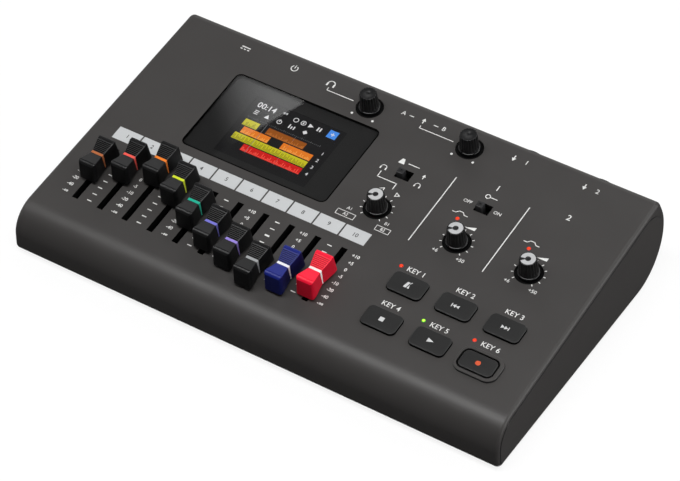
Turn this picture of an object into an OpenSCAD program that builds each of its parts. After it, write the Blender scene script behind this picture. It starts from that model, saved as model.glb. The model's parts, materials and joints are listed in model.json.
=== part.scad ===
// Desktop multitrack recorder: sloped panel with ten faders, five knobs, six keys and a display.
// Millimetres. +X to the right, +Y to the rear, +Z up, origin on the floor under the case's middle.
// A panel place is (x, v, w): x as the case, v up the slope to the rear, w out of the panel.

/* [Case] */
// Width of the case between its side faces, at the height of the rear top edge
case_w = 256.1; // [254:0.1:290]
// Depth of the case from nose to heel
case_d = 150; // [148:0.2:170]
// Height of the rear top edge above the flat bottom
rear_h = 41.9; // [41.5:0.1:50]
// Slope of the control panel in degrees
tilt = 7.5; // [6.5:0.25:8]
// Lean of the rear wall in degrees
rear_lean = 25; // [22:1:26]
// Draft of the sides in degrees, by which the case widens downwards
side_draft = 2.5; // [1.5:0.1:3.5]
// Radius of the rounded front
nose_r = 14.7; // [13.5:0.1:15]
// Radius under the front
toe_r = 4; // [3.5:0.1:5]
// Radius from the rear wall to the bottom
heel_r = 24.7; // [23.5:0.1:25]
// Radius of the rear top edge
brow_r = 3.9; // [3:0.1:4.4]
// Radius of the edges along both sides
edge_r = 2; // [1.6:0.1:2.4]
// Width of the ledge between an edge rounding and the flat side face
side_ledge = 0.4; // [0.3:0.1:0.8]
// How far the flat side faces stand out of the edge roundings
side_pad = 0.25; // [0.15:0.05:0.4]
// Radius of the side faces' upper rear corner
side_corner_r = 17; // [14:0.5:18]
// Thickness of the case walls
wall = 2.4; // [2.2:0.1:2.8]
// Thickness of the base, which is also the height of the seam
base_t = 2.6; // [2.4:0.1:3.2]
// Depth of the thicker rear wall behind the heel, where the sockets come through
rear_t = 5.8; // [5.6:0.1:6.2]

/* [Feet and screws] */
// Height of the feet
foot_h = 1; // [0.8:0.1:3]
// Radius of the feet
foot_r = 6; // [5:0.5:8]
// Distance of the feet from the middle, sideways
foot_x = 98; // [90:1:100]
// Distance of the front feet's middles from the front of the case
foot_front = 25; // [20:1:30]
// Gap between the rear feet and the curve of the heel
foot_rear_gap = 0.3; // [0.2:0.1:4]
// Radius of the screw bosses
boss_r = 3.2; // [3:0.1:3.5]
// Radius of the screw shanks
screw_r = 1.4; // [1.2:0.1:1.6]
// Radius of the screw heads
screw_head_r = 2.6; // [2.3:0.1:2.9]
// Height of the screw heads
screw_head_h = 1.4; // [1.2:0.1:1.6]
// Length of the screws under the head
screw_l = 9; // [8:0.5:10]
// Width of the cross slot in the screw heads
cross_w = 0.6; // [0.5:0.05:0.8]
// Depth of that slot
cross_t = 0.8; // [0.5:0.1:1]
// Gap between screw shank and boss
screw_fit = 0.02; // [0.01:0.01:0.05]
// Bevel round the feet
foot_bevel = 0.4; // [0.3:0.1:0.6]
// Distance of the outer bosses from the side walls' inner faces, to the axis
boss_inset = 4.6; // [4:0.1:5]
// Distance of the two inner bosses from the front of the case
boss_front = 7.3; // [7.1:0.1:7.6]
// Distance of the front outer bosses from the front of the case
boss_fore = 17; // [14:0.5:20]
// Distance of the rear outer bosses before the curve of the heel
boss_aft = 20; // [17:0.5:22]
// Distance between the two inner bosses
boss_span = 80; // [70:1:90]

/* [Faders] */
// Place of the first fader, from the middle
fader_x1 = -108.8; // [-109.4:0.1:-108]
// Distance between faders
fader_pitch = 14; // [13.4:0.1:14.2]
// Travel of the faders
fader_travel = 30; // [28:1:31]
// Middle of the fader travel before the middle of the field in front of the display
fader_fore = 4.37; // [4:0.01:4.7]
// Width of the slots in the panel
slot_w = 3.2; // [2.8:0.1:3.6]
// Thickness of the levers
lever_t = 1.2; // [1:0.1:1.4]
// Length of the levers along the slot
lever_l = 3.2; // [2.8:0.1:3.6]
// Free length left at each end of a slot
slot_end = 0.3; // [0.3:0.1:0.6]
// Width of the fader housings
fader_body_w = 9; // [8.6:0.1:10]
// Height of the fader housings
fader_body_h = 7.2; // [7:0.1:7.6]
// Wall of the fader housings
fader_body_t = 0.8; // [0.6:0.1:1]
// Gap between the panel and the fader housings
fader_drop = 0.4; // [0.3:0.1:0.6]
// Thickness of the carriage inside a housing
carriage_h = 2.6; // [2.2:0.1:3]
// Length of the carriage
carriage_l = 5.4; // [5:0.1:6]
// Length of each solid end block of a housing
block_l = 2; // [1.5:0.1:2.4]

/* [Fader caps] */
// Length of a cap at its base
cap_l = 20.2; // [18:0.2:21]
// Width of a cap's ends
cap_w = 9.2; // [8.6:0.1:10]
// Width of a cap at its waist
cap_waist = 6.6; // [6:0.1:7.4]
// Height of a cap
cap_h = 10.3; // [9.5:0.1:11.5]
// Height of a cap's base above the panel
cap_gap = 1.8; // [1.2:0.1:2.4]
// Depth of the valley across a cap
cap_dip = 1.9; // [1.5:0.1:2.4]
// Lean of a cap's ends, base to top
cap_lean = 1.1; // [0.6:0.1:1.6]
// Length of the crest at each end
crest_l = 2; // [1.8:0.1:2.4]
// Height of the step in front of each crest
crest_step = 0.3; // [0.2:0.05:0.4]
// Rounding of a cap's upper ends
cap_round = 1; // [0.7:0.1:1.2]
// Corner cut of a cap in plan
cap_corner = 0.8; // [0.5:0.1:1]
// Draft of each flank of a cap
cap_draft = 0.25; // [0.1:0.05:0.4]
// Width of the fine groove before the front crest
groove_w = 0.4; // [0.2:0.1:0.6]
// Number of grip ribs behind the line
rib_count = 7; // [5:1:9]
// Height of the grip ribs
rib_h = 0.2; // [0.1:0.05:0.3]
// Width of the groove for the coloured line
line_w = 1.3; // [1:0.1:1.6]
// Depth of the groove for the coloured line
line_t = 0.2; // [0.1:0.05:0.3]
// How far the lever reaches into the cap
lever_grip = 5.6; // [5:0.1:6]
// Gap between lever and cap
lever_fit = 0.05; // [0.02:0.01:0.1]

/* [Knobs] */
// Height of the knobs above the panel
knob_h = 9.7; // [9:0.1:11]
// Radius of a knob at its top
knob_top_r = 4.15; // [4:0.05:4.3]
// Radius of the grip above the skirt
grip_r = 4.7; // [4.6:0.05:4.8]
// Radius of the skirt
skirt_r = 5.2; // [5:0.1:5.6]
// Height of the skirt above the panel
skirt_h = 1.3; // [1:0.1:1.6]
// Number of flutes round a knob
flute_count = 18; // [14:1:20]
// Radius of a flute
flute_r = 0.5; // [0.4:0.05:0.6]
// Depth of a flute
flute_depth = 0.32; // [0.2:0.02:0.4]
// Height of the plain band under the flutes
band_h = 0.6; // [0.4:0.1:1]
// Bevel at the edges of a knob
knob_edge = 0.4; // [0.2:0.05:0.5]
// Width of the pointer groove
pointer_w = 0.9; // [0.6:0.1:1.2]
// Depth of the pointer groove
pointer_t = 0.3; // [0.2:0.05:0.4]
// Distance of the pointer groove from the knob's axis
pointer_in = 0.6; // [0.3:0.1:1.2]
// Radius of the dish round each knob
dish_r = 6.7; // [6.2:0.1:7.2]
// Depth of the dish
dish_t = 0.8; // [0.6:0.1:1]
// Gap between skirt and dish
skirt_gap = 0.3; // [0.3:0.05:0.5]
// Radius of the shafts
shaft_r = 3; // [2.8:0.1:3.1]
// Gap between shaft and its bush
shaft_fit = 0.05; // [0.03:0.01:0.08]
// Gap between shaft and knob
knob_fit = 0.02; // [0.01:0.01:0.05]
// Top of the shaft below the knob's top
shaft_drop = 2; // [1.6:0.1:2.4]
// Where the knobs stand, in degrees from the middle of their turn
knob_set = 118; // [-140:1:140]
// Width of a pot body
pot_w = 10; // [9.6:0.1:11]
// Depth of a pot body
pot_d = 11; // [10:0.1:12]
// Height of a pot body
pot_h = 6.2; // [5.6:0.1:6.6]
// Wall of the bush round a shaft
bush_t = 1.2; // [1:0.1:1.4]
// Floor of a pot body under its shaft
pot_floor = 0.7; // [0.5:0.1:1]

/* [Keys] */
// Width of a key
key_w = 16.6; // [15:0.2:18]
// Depth of a key
key_d = 9.5; // [8.5:0.1:10.5]
// Corner radius of a key
key_r = 2.5; // [2:0.1:3]
// Height of a key above the panel
key_h = 1.3; // [1:0.1:2]
// Bevel round the top of a key
key_bevel = 0.5; // [0.3:0.1:0.8]
// Gap round a key
key_gap = 0.45; // [0.35:0.05:0.6]
// Press of a key
key_travel = 0.6; // [0.4:0.1:0.8]
// Width of the flange that holds a key under the panel
key_flange = 0.9; // [0.8:0.1:1.2]
// Thickness of that flange
key_flange_t = 0.8; // [0.6:0.1:1]
// Radius of the stem under a key
stem_r = 1.7; // [1.5:0.1:1.9]
// Distance between keys
key_pitch = 24.8; // [24:0.1:25.5]
// Distance between the two rows of keys
key_row = 21.6; // [20:0.1:23]
// Width of the raised rim round the record key
rim_w = 1.4; // [1:0.1:1.8]
// Height of that rim
rim_h = 1.1; // [0.5:0.1:1.2]
// Slope of the rim's outer side, base to top
rim_slope = 0.8; // [0.4:0.1:0.9]
// Side of a key switch
tact_w = 6; // [5.6:0.1:7]
// Height of a key switch
tact_h = 3.6; // [3.2:0.1:4]
// Depth left under the stem of a pressed key
stem_room = 0.2; // [0.1:0.05:0.3]

/* [Display] */
// Width of the cover glass
glass_w = 79.6; // [76:0.2:82]
// Depth of the cover glass
glass_d = 49.4; // [46:0.2:50]
// Corner radius of the cover glass
glass_r = 3; // [2:0.2:4]
// Thickness of the cover glass
glass_t = 1.2; // [1:0.1:1.3]
// Gap round the cover glass
glass_gap = 0.25; // [0.2:0.05:0.4]
// How far the glass lies below the panel
glass_sink = 0.1; // [0.05:0.05:0.2]
// Width of the display's picture
picture_w = 50.2; // [48:0.2:52]
// Depth of the display's picture
picture_d = 37.2; // [35:0.2:39]
// Border of the display module outside its picture
module_rim = 4; // [3:0.1:4.2]
// Thickness of the display module
module_t = 4.2; // [3.6:0.1:5]
// Gap between the picture and the opening round it
picture_rim = 0.5; // [0.3:0.1:0.8]
// Gap between the picture and the cover glass
picture_gap = 0.1; // [0.05:0.05:0.15]

/* [Lamps and slide switches] */
// Radius of the lamps
lamp_r = 1; // [0.8:0.05:1.2]
// Height of the lamps above the panel
lamp_h = 0.3; // [0.2:0.1:0.5]
// Bevel round the top of a lamp
lamp_bevel = 0.2; // [0.1:0.05:0.3]
// Width of the flange at a lamp's foot
lamp_flange = 0.6; // [0.4:0.1:0.8]
// Thickness of that flange
lamp_flange_t = 1; // [0.8:0.1:1.2]
// Width of a slide switch opening
slide_w = 7.4; // [6.8:0.1:7.8]
// Depth of a slide switch opening
slide_d = 5.8; // [5:0.1:6.2]
// Travel of a slide switch nub
slide_travel = 3; // [2.4:0.1:3.2]
// Side of a slide switch nub
nub_w = 3.4; // [3:0.1:3.6]
// Height of a slide switch nub above the panel
nub_h = 2.3; // [1.6:0.1:2.6]
// Height of a slide switch body
slide_body_h = 4; // [3.6:0.1:4.4]
// Wall of a slide switch body
slide_body_t = 1; // [0.8:0.1:1.2]
// Gap under a slide switch nub
nub_gap = 0.3; // [0.2:0.1:0.4]

/* [Boards] */
// Thickness of the boards
board_t = 1.6; // [1.2:0.1:1.8]
// Rear edge of the control board on the panel
board_rear_v = 8; // [7:0.5:8.5]
// Gap between the control board and the case sides
board_inset = 11.6; // [11:0.1:12.2]
// Height of the jack board's top above the flat bottom
jack_board_h = 15; // [14.6:0.1:15]
// Depth of the jack board
jack_board_d = 28.5; // [27.5:0.1:29]
// Gap between the jack board and the battery bay
bay_gap = 2; // [1.5:0.1:3]
// Distance of the jack board's front posts from its front edge
jack_post_in = 3.5; // [3:0.1:4.5]
// Distance of the jack board's rear posts behind the start of the heel's curve
jack_post_back = 1; // [0.5:0.1:2]
// Radius of the board posts
post_r = 2.6; // [2.4:0.1:3]
// Border of the control board round the parts at its edges
board_lip = 1; // [0.6:0.1:1.2]
// Border of the tongues beside the rear pots
tongue_lip = 2; // [1:0.1:2.4]

/* [Sockets] */
// Radius of the plug hole in the jacks
plug_r = 3.25; // [3.2:0.01:3.3]
// Depth of the plug hole
plug_depth = 24; // [22:0.5:25]
// Radius of the jacks' noses
jack_nose_r = 4.8; // [4.4:0.1:5.2]
// How far a jack's nose ends before the rearmost line of the case
jack_back = 0.3; // [0.2:0.1:0.6]
// Width of the jack bodies
jack_w = 15; // [14:0.2:15.4]
// Height of the jack bodies
jack_body_h = 16; // [15:0.2:17]
// Length of the jack bodies
jack_l = 24; // [23:0.2:26]
// Radius of the combined sockets' noses
combo_r = 10.8; // [10.5:0.1:11]
// How far a combined socket's nose ends before the rearmost line of the case
combo_back = 1; // [0.6:0.1:1.2]
// Depth of the plug hole in the combined sockets
combo_plug_depth = 21; // [20:0.5:22]
// Radius of the three contact holes
contact_r = 1.1; // [1:0.05:1.2]
// Width of the combined socket bodies
combo_w = 23; // [22.4:0.2:24]
// Height of the combined socket bodies
combo_h = 21.4; // [21:0.1:21.8]
// Length of the combined socket bodies
combo_l = 19.5; // [18:0.1:20]
// Outer radius of the combined sockets' ring gap
ring_out_r = 9.6; // [9.5:0.05:9.8]
// Inner radius of the combined sockets' ring gap
ring_in_r = 7.7; // [7.5:0.05:7.9]
// Depth of the ring gap
ring_depth = 13; // [12:0.5:15]
// Gap round what comes through the rear wall
hole_gap = 0.2; // [0.15:0.05:0.4]
// Width of the power and data inlet
usb_w = 8.94; // [8.8:0.02:9.1]
// Height of the power and data inlet
usb_h = 3.26; // [3.2:0.02:3.4]
// Length of the power and data inlet
usb_l = 8; // [7:0.1:9]
// Thickness of the inlet's shell
usb_t = 0.3; // [0.2:0.05:0.4]
// Width of the tongue in the inlet
tongue_w = 6.7; // [6.5:0.1:7]
// Thickness of that tongue
tongue_t = 0.7; // [0.6:0.05:0.8]
// How far the tongue ends before the inlet's mouth
tongue_back = 0.8; // [0.5:0.1:1.2]
// Border of the recess round the inlet and the power switch
recess_rim = 2.2; // [1.8:0.1:2.4]
// Depth of that recess
recess_t = 3.4; // [3:0.1:3.6]
// Travel of the power switch
power_travel = 4; // [3:0.1:5]
// Width of the power switch nub
power_nub_w = 4; // [3.4:0.1:4.6]
// Height of the power switch nub
power_nub_h = 3.6; // [3:0.1:4]
// How far the nub ends before the rearmost line of the case
power_back = 0.2; // [0.1:0.1:0.6]
// Height of the power switch body
power_body_h = 8; // [7.4:0.1:9]
// Length of the power switch body
power_body_l = 7; // [6:0.1:8]
// Width of the walls at the body's ends
power_body_t = 2; // [1.5:0.1:2.4]
// Width of the grooves across the nub
nub_groove = 0.5; // [0.3:0.05:0.6]
// Width of the memory card
card_w = 11; // [10.8:0.1:11.2]
// Thickness of the memory card
card_t = 1; // [0.9:0.1:1.2]
// Gap round the card in its holder
card_fit = 0.15; // [0.1:0.05:0.25]
// Gap round the card in the case
card_gap = 0.4; // [0.3:0.1:0.6]
// Distance of the card's middle line from the rear wall's inner face
card_in = 16.7; // [14:0.1:18]
// Length of the card holder
holder_l = 14; // [13:0.5:16]
// Wall of the card holder at its sides and end
holder_t = 1.2; // [1:0.1:1.6]
// Floor and roof of the card holder
holder_floor = 0.35; // [0.3:0.05:0.5]

/* [Battery bay] */
// Length of a cell
cell_l = 50.5; // [50:0.1:51]
// Radius of a cell
cell_r = 7.25; // [7.1:0.05:7.3]
// Room at each end of the bay for the contacts
contact_room = 3; // [2.6:0.1:3.4]
// Room left round the cells
cell_room = 0.5; // [0.4:0.1:0.7]
// Side of a contact plate
contact_w = 10; // [8:0.5:11]
// Thickness of a contact plate
contact_t = 0.5; // [0.3:0.1:0.6]
// Radius of the contact springs
spring_r = 4; // [3.5:0.1:4.5]
// Radius of the contact buttons
button_r = 2.5; // [2:0.1:3]
// Thickness of the bay's walls
bay_t = 2; // [1.6:0.1:2.4]
// Thickness of the battery door
door_t = 2; // [1.9:0.1:2.1]
// How far the door reaches past the bay on each side
door_lap = 1.4; // [1.2:0.1:1.8]
// Gap round the battery door
door_gap = 0.3; // [0.3:0.05:0.4]
// Gap between the closed door and its seat
seat_gap = 0.1; // [0.1:0.05:0.2]
// Radius of the thumb scoop in the door
scoop_r = 9; // [7:0.5:11]
// Radius of the door's hinge pins
pin_r = 0.6; // [0.5:0.05:0.65]
// Length of the door's hinge pins
pin_l = 2; // [1.5:0.1:2.5]
// Gap round the hinge pins
pin_fit = 0.05; // [0.03:0.01:0.08]

/* [Hidden] */
$fn = 48;
// Overlap of what is joined
eps = 0.01;
// How far a cut runs past the surface it opens
over = 1;

// Outline of the case seen from the side, in (y, z)
heel_c = [case_d / 2 - heel_r, foot_h + heel_r];
lean_n = [cos(rear_lean), sin(rear_lean)];
panel_n = [-sin(tilt), cos(tilt)];
heel_end = heel_c + heel_r * lean_n;
rear_z = foot_h + rear_h;
rear_y = heel_end.x - (rear_z - heel_end.y) * tan(rear_lean);
nose_y = nose_r - case_d / 2;
nose_c = [nose_y, rear_z + ((nose_y - rear_y) * sin(tilt) - nose_r) / cos(tilt)];
toe_c = [toe_r - case_d / 2, foot_h + toe_r];
seam_z = foot_h + base_t;
rear_in = case_d / 2 - rear_t;
inner_x = case_w / 2 - wall;
// The side faces' upper rear corner touches the panel's line and the circle of the heel
heel_deep = ([rear_y, rear_z] - heel_c) * panel_n;
side_c = heel_c + (heel_deep - side_corner_r) * panel_n
  + sqrt(pow(heel_r - side_corner_r, 2) - pow(heel_deep - side_corner_r, 2)) * [cos(tilt), sin(tilt)];
side_turn = atan2(side_c.y - heel_c.y, side_c.x - heel_c.x);

// Places on the panel as (x, v); v = 0 lies panel_ref in front of the rear top edge
panel_ref = 37.73;
glass_at = [-45.15, -10.2];
picture_at = [-44.45, -11.65];
// Knobs: name and place
KNOBS = [["phones", [-18.05, 24.8]], ["output", [36.1, 24.8]], ["balance", [17.5, -25.66]],
         ["gain_1", [59.5, -25.66]], ["gain_2", [96.5, -25.66]]];
SLIDES = [["click", [17.85, -3]], ["hiz", [59.9, -3.3]]];
// The field in front of the display: its middle line, and what is placed from it
nose_v = panel_ref + (nose_y - rear_y - nose_r * sin(tilt)) / cos(tilt);
front_v = (nose_v + glass_at.y - glass_d / 2) / 2;
fader_mid_v = front_v - fader_fore;
// Where each fader's line stands, up from the low end of its travel
fader_set = [18.7, 24.6, 29.9, 23.9, 16.1, 9.4, 5, 0.5, 4.5, 8.9];
// Keys, row by row from the left
KEYS = ["click", "rew", "ff", "stop", "play", "rec"];
KEY_COLUMNS = 3;
key_at = [53.2, front_v + 6.53];
red_lamps = [[52.7, -13.8], [89.6, -13.8], [44.8, front_v + 15.93], [94.6, front_v - 4.27]];
green_lamp = [69.6, front_v - 5.67];
post_at = [[-98, front_v + 25], [-98, 2], [0.5, front_v + 27], [35, front_v + 3], [78, 2],
           [112, front_v + 23]];

// Places along the rear wall
line_jack_x = [-42, -2.5, 20];
combo_x = [60.3, 97];
usb_x = -91;
power_x = -63;
jack_board_y = rear_in - hole_gap - jack_board_d;
jack_post_x = [-100, 34, 80];
jack_post_y = [jack_board_y + jack_post_in, heel_c.x + jack_post_back];
card_y = rear_in - card_in;

// Heights above the panel and places that follow from the sizes above
board_top = -(wall + fader_drop + fader_body_h);
body_top = board_top + fader_body_h;
slot_l = fader_travel + lever_l + 2 * slot_end;
bed_l = fader_travel + carriage_l + 2 * slot_end;
fader_body_l = bed_l + 2 * (fader_body_t + block_l);
carriage_top = body_top - fader_body_t - slot_end;
lever_top = cap_gap + lever_grip;
cap_top = cap_gap + cap_h;
valley = cap_top - cap_dip;
cap_crest = cap_l / 2 - cap_lean - crest_l;
skirt_low = skirt_gap - dish_t;
shaft_top = knob_h - shaft_drop;
flange_top = -wall - eps;
flange_low = flange_top - key_flange_t;
power_slot = [power_travel + power_nub_w + 2 * slot_end, power_nub_h + 2 * slot_end];
tact_top = board_top + tact_h;
jack_z = foot_h + jack_board_h;
power_z = jack_z + power_body_h / 2;
card_z = jack_z + holder_floor + card_fit + card_t / 2;
// Inner face of the side wall at the card's height
card_x = inner_x + (rear_z - card_z) * tan(side_draft);
recess_y = case_d / 2 - recess_t;
bay_l = 2 * (cell_l + contact_room);
bay_w = 4 * cell_r + 2 * cell_room;
bay_y = jack_board_y - bay_gap - bay_t - bay_w / 2;
bay_top = foot_h + door_t + seat_gap + 2 * cell_r + cell_room;
door_z = foot_h + door_t / 2;
hinge_y = bay_y + bay_w / 2 + door_lap - door_t / 2;
boss_x = inner_x - boss_inset;
boss_at = [for (side = [-1, 1]) each [
  side * [boss_x, 0] + [0, boss_fore - case_d / 2], side * [boss_x, 0] + [0, heel_c.x - boss_aft],
  side * [boss_span / 2, 0] + [0, boss_front - case_d / 2]]];
foot_y = [foot_front - case_d / 2, heel_c.x - foot_r - foot_rear_gap];

function indices(list) = [for (i = [0:len(list) - 1]) i];
function arc(c, r, from, to, n) =
  [for (i = [0:n]) let (a = from + (to - from) * i / n) c + r * [cos(a), sin(a)]];
// Centre of a rounding of radius r between the rear wall and the panel
function brow_c(r) = [rear_y, rear_z]
  + r * [sin(rear_lean) - cos(tilt), -cos(rear_lean) - sin(tilt)] / cos(rear_lean - tilt);
// Side outline drawn in by d: the heel up to the angle turn, the rear corner's points, nose and toe
function outline(d, turn, corner) = concat(
  arc(heel_c, heel_r - d, -90, turn, 20), corner,
  arc(nose_c, nose_r - d, 90 + tilt, 180, 18), arc(toe_c, toe_r - d, 180, 270, 10));
function case_outline(d) =
  outline(d, rear_lean, arc(brow_c(brow_r), brow_r - d, rear_lean, 90 + tilt, 12));
function side_outline(d) =
  outline(d, side_turn, arc(side_c, side_corner_r - d, side_turn, 90 + tilt, 12));
function inside_outline(d) = outline(d, rear_lean, [brow_c(d)]);
// An outline put x from the middle to one side, and further out the lower it lies
function drafted(points, side, x) =
  [for (p = points) [side * (x + (rear_z - p.y) * tan(side_draft)), p.x, p.y]];
function fader_x(k) = fader_x1 + k * fader_pitch;
function fader_v(k) = fader_mid_v - fader_travel / 2 + fader_set[k];
// Height of a cap's top between its line and its crests
function cap_slope(v) = valley + (cap_top - crest_step - valley) * abs(v) / cap_crest;
function key_place(i) =
  key_at + [(i % KEY_COLUMNS) * key_pitch, -floor(i / KEY_COLUMNS) * key_row];

// Puts (x, v, w) into the case's axes
module on_panel() {
  translate([0, rear_y, rear_z]) rotate([tilt, 0, 0]) translate([0, -panel_ref, 0]) children();
}

// Extrudes a (y, z) outline across the case
module across(w) {
  rotate([90, 0, 90]) linear_extrude(w, center = true) children();
}

// Extrudes an (x, z) outline towards the rear, from y0 to y1
module rearwards(y0, y1) {
  translate([0, y1, 0]) rotate([90, 0, 0]) linear_extrude(y1 - y0) children();
}

// Extrudes a flat outline from height w0 to w1
module rise(w0, w1) {
  translate([0, 0, w0]) linear_extrude(w1 - w0) children();
}

module round_rect(w, d, r) {
  square([w - 2 * r, d], center = true);
  square([w, d - 2 * r], center = true);
  for (sx = [-1, 1], sy = [-1, 1]) translate([sx * (w / 2 - r), sy * (d / 2 - r)]) circle(r);
}

// Closed skin over rings of points, with a flat end on the first and the last
module loft(rings) {
  n = len(rings[0]);
  last = n * (len(rings) - 1);
  skin = [for (j = [0:len(rings) - 2], i = [0:n - 1]) let (k = (i + 1) % n)
    [j * n + i, j * n + n + i, j * n + n + k, j * n + k]];
  polyhedron([for (ring = rings) each ring],
    concat(skin, [[for (i = [0:n - 1]) i], [for (i = [n - 1:-1:0]) last + i]]));
}

// The whole closed case: rings of the side outline, drawn in to round both ends, and raised side faces
module case_solid() {
  steps = 5;
  half = case_w / 2 - side_pad;
  face = side_outline(edge_r + side_ledge);
  edge = [for (i = [0:steps]) let (a = 90 * i / steps)
    [half - edge_r * (1 - sin(a)), case_outline(edge_r * (1 - cos(a)))]];
  ends = concat(edge, [[half, face], [case_w / 2, face]]);
  loft(concat(
    [for (i = [len(ends) - 1:-1:0]) drafted(ends[i][1], -1, ends[i][0])],
    [for (end = ends) drafted(end[1], 1, end[0])]));
}

module case_inside() {
  intersection() {
    loft([for (side = [-1, 1]) drafted(inside_outline(wall), side, inner_x)]);
    translate([-case_w, -case_d, 0]) cube([2 * case_w, case_d + rear_in, 3 * rear_z]);
  }
}

// Everything cut out of the panel
module panel_cuts() {
  depth = wall + over;
  for (k = indices(fader_set))
    translate([fader_x(k), fader_mid_v]) rise(-depth, over) square([slot_w, slot_l], center = true);
  for (knob = KNOBS) translate(knob[1]) {
    rise(-dish_t, over) circle(dish_r);
    rise(-depth, over) circle(shaft_r + 2 * skirt_gap);
  }
  for (i = indices(KEYS))
    translate(key_place(i)) rise(-depth, rim_h + over)
      round_rect(key_w + 2 * key_gap, key_d + 2 * key_gap, key_r + key_gap);
  for (lamp = concat(red_lamps, [green_lamp])) translate(lamp) rise(-depth, over) circle(lamp_r + eps);
  for (slide = SLIDES) translate(slide[1]) rise(-depth, over) square([slide_w, slide_d], center = true);
  translate(glass_at) rise(-glass_sink - glass_t, over)
    round_rect(glass_w + 2 * glass_gap, glass_d + 2 * glass_gap, glass_r + glass_gap);
  translate(picture_at) rise(-depth, over)
    square([picture_w + 2 * picture_rim, picture_d + 2 * picture_rim], center = true);
}

// Holes in the rear wall for the sockets and the power switch
module rear_cuts() {
  from = rear_in - over;
  to = case_d / 2 + over;
  for (x = line_jack_x) translate([x, 0, jack_z + jack_body_h / 2])
    rearwards(from, to) circle(jack_nose_r + hole_gap);
  for (x = combo_x) translate([x, 0, jack_z + combo_h / 2])
    rearwards(from, to) circle(combo_r + hole_gap);
  translate([usb_x, 0, jack_z + usb_h / 2]) {
    rearwards(from, to) round_rect(usb_w + 2 * hole_gap, usb_h + 2 * hole_gap, usb_h / 2);
    rearwards(recess_y, to)
      round_rect(usb_w + 2 * recess_rim, usb_h + 2 * recess_rim, (usb_h + recess_rim) / 2);
  }
  translate([power_x, 0, power_z]) {
    rearwards(from, to) square(power_slot, center = true);
    rearwards(recess_y, to)
      round_rect(power_slot.x + 2 * recess_rim, power_slot.y + 2 * recess_rim, recess_rim);
  }
}

module card_cut() {
  translate([-card_x - wall / 2, card_y, card_z])
    cube([wall + 2 * over, card_w + 2 * card_gap, card_t + 2 * card_gap], center = true);
}

module top_case() color("#454443") {
  difference() {
    union() {
      difference() {
        intersection() {
          case_solid();
          translate([-case_w, -case_d, seam_z]) cube([2 * case_w, 2 * case_d, 2 * rear_z]);
        }
        case_inside();
      }
      intersection() {
        for (b = boss_at) translate([b.x, b.y, seam_z]) cylinder(r = boss_r, h = rear_z);
        case_inside_and_skin();
      }
      intersection() {
        on_panel() for (p = post_at) translate([p.x, p.y, board_top])
          cylinder(r = post_r, h = -board_top);
        case_inside_and_skin();
      }
      on_panel() translate(key_place(len(KEYS) - 1)) hull() {
        rise(-eps, eps) rim_plan(rim_w);
        rise(-eps, rim_h) rim_plan(rim_w - rim_slope);
      }
    }
    on_panel() panel_cuts();
    rear_cuts();
    card_cut();
    for (b = boss_at) translate([b.x, b.y, foot_h])
      cylinder(r = screw_r + screw_fit, h = screw_head_h + screw_l + over);
  }
}

// The inside and half of its wall, so that bosses join the shell without showing through it
module case_inside_and_skin() {
  loft([for (side = [-1, 1]) drafted(inside_outline(wall / 2), side, inner_x + wall / 2)]);
}

// Opening of the record key, grown by w
module rim_plan(w) {
  grown = key_gap + w;
  round_rect(key_w + 2 * grown, key_d + 2 * grown, key_r + grown);
}

module bottom_case() color("#3a3938") {
  difference() {
    union() {
      intersection() {
        case_solid();
        translate([-case_w, -case_d, 0]) cube([2 * case_w, 2 * case_d, seam_z]);
      }
      translate([0, bay_y, seam_z - eps]) rise(0, bay_top + bay_t - seam_z)
        square([bay_l + 2 * bay_t, bay_w + 2 * bay_t], center = true);
      for (x = jack_post_x, y = jack_post_y) translate([x, y, seam_z - eps])
        cylinder(r = post_r, h = jack_z - board_t - seam_z + eps);
    }
    // The bay and the seat of its door
    translate([0, bay_y, 0]) {
      rise(foot_h, bay_top) square([bay_l, bay_w], center = true);
      rise(foot_h - over, foot_h + door_t + seat_gap)
        square([bay_l + 2 * (door_lap + door_gap), bay_w + 2 * (door_lap + door_gap)], center = true);
    }
    translate([0, hinge_y, door_z]) rotate([0, 90, 0])
      cylinder(r = pin_r + pin_fit, h = bay_l + 2 * (door_lap + pin_l + door_gap), center = true);
    for (b = boss_at) translate([b.x, b.y, foot_h - over]) {
      cylinder(r = screw_r + hole_gap, h = base_t + 2 * over);
      cylinder(r = screw_head_r + hole_gap, h = screw_head_h + over);
    }
  }
}

module battery_door() color("#3a3938") {
  w = bay_l + 2 * door_lap;
  front = bay_y - bay_w / 2 - door_lap;
  difference() {
    union() {
      translate([-w / 2, front, foot_h]) cube([w, hinge_y - front, door_t]);
      translate([-w / 2, hinge_y, door_z]) rotate([0, 90, 0]) cylinder(r = door_t / 2, h = w);
      translate([0, hinge_y, door_z]) rotate([0, 90, 0])
        cylinder(r = pin_r, h = w + 2 * pin_l, center = true);
    }
    // Thumb scoop at the free edge
    translate([0, front, foot_h - over]) cylinder(r = scoop_r, h = over + door_t / 2);
  }
}

module rubber_feet() color("#1c1c1c") {
  for (x = [-foot_x, foot_x], y = foot_y)
    translate([x, y, 0]) rotate_extrude()
      polygon([[0, 0], [foot_r - foot_bevel, 0], [foot_r, foot_bevel], [foot_r, foot_h], [0, foot_h]]);
}

module case_screws() color("#8b8b8b") {
  for (b = boss_at) translate([b.x, b.y, foot_h]) difference() {
    union() {
      cylinder(r = screw_head_r, h = screw_head_h);
      cylinder(r = screw_r, h = screw_head_h + screw_l);
    }
    for (a = [0, 90]) rotate(a) cube([cross_w, screw_head_r, 2 * cross_t], center = true);
  }
}

module screen_window() color("#17181a") on_panel() {
  translate(glass_at) rise(-glass_sink - glass_t, -glass_sink) round_rect(glass_w, glass_d, glass_r);
}

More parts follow.
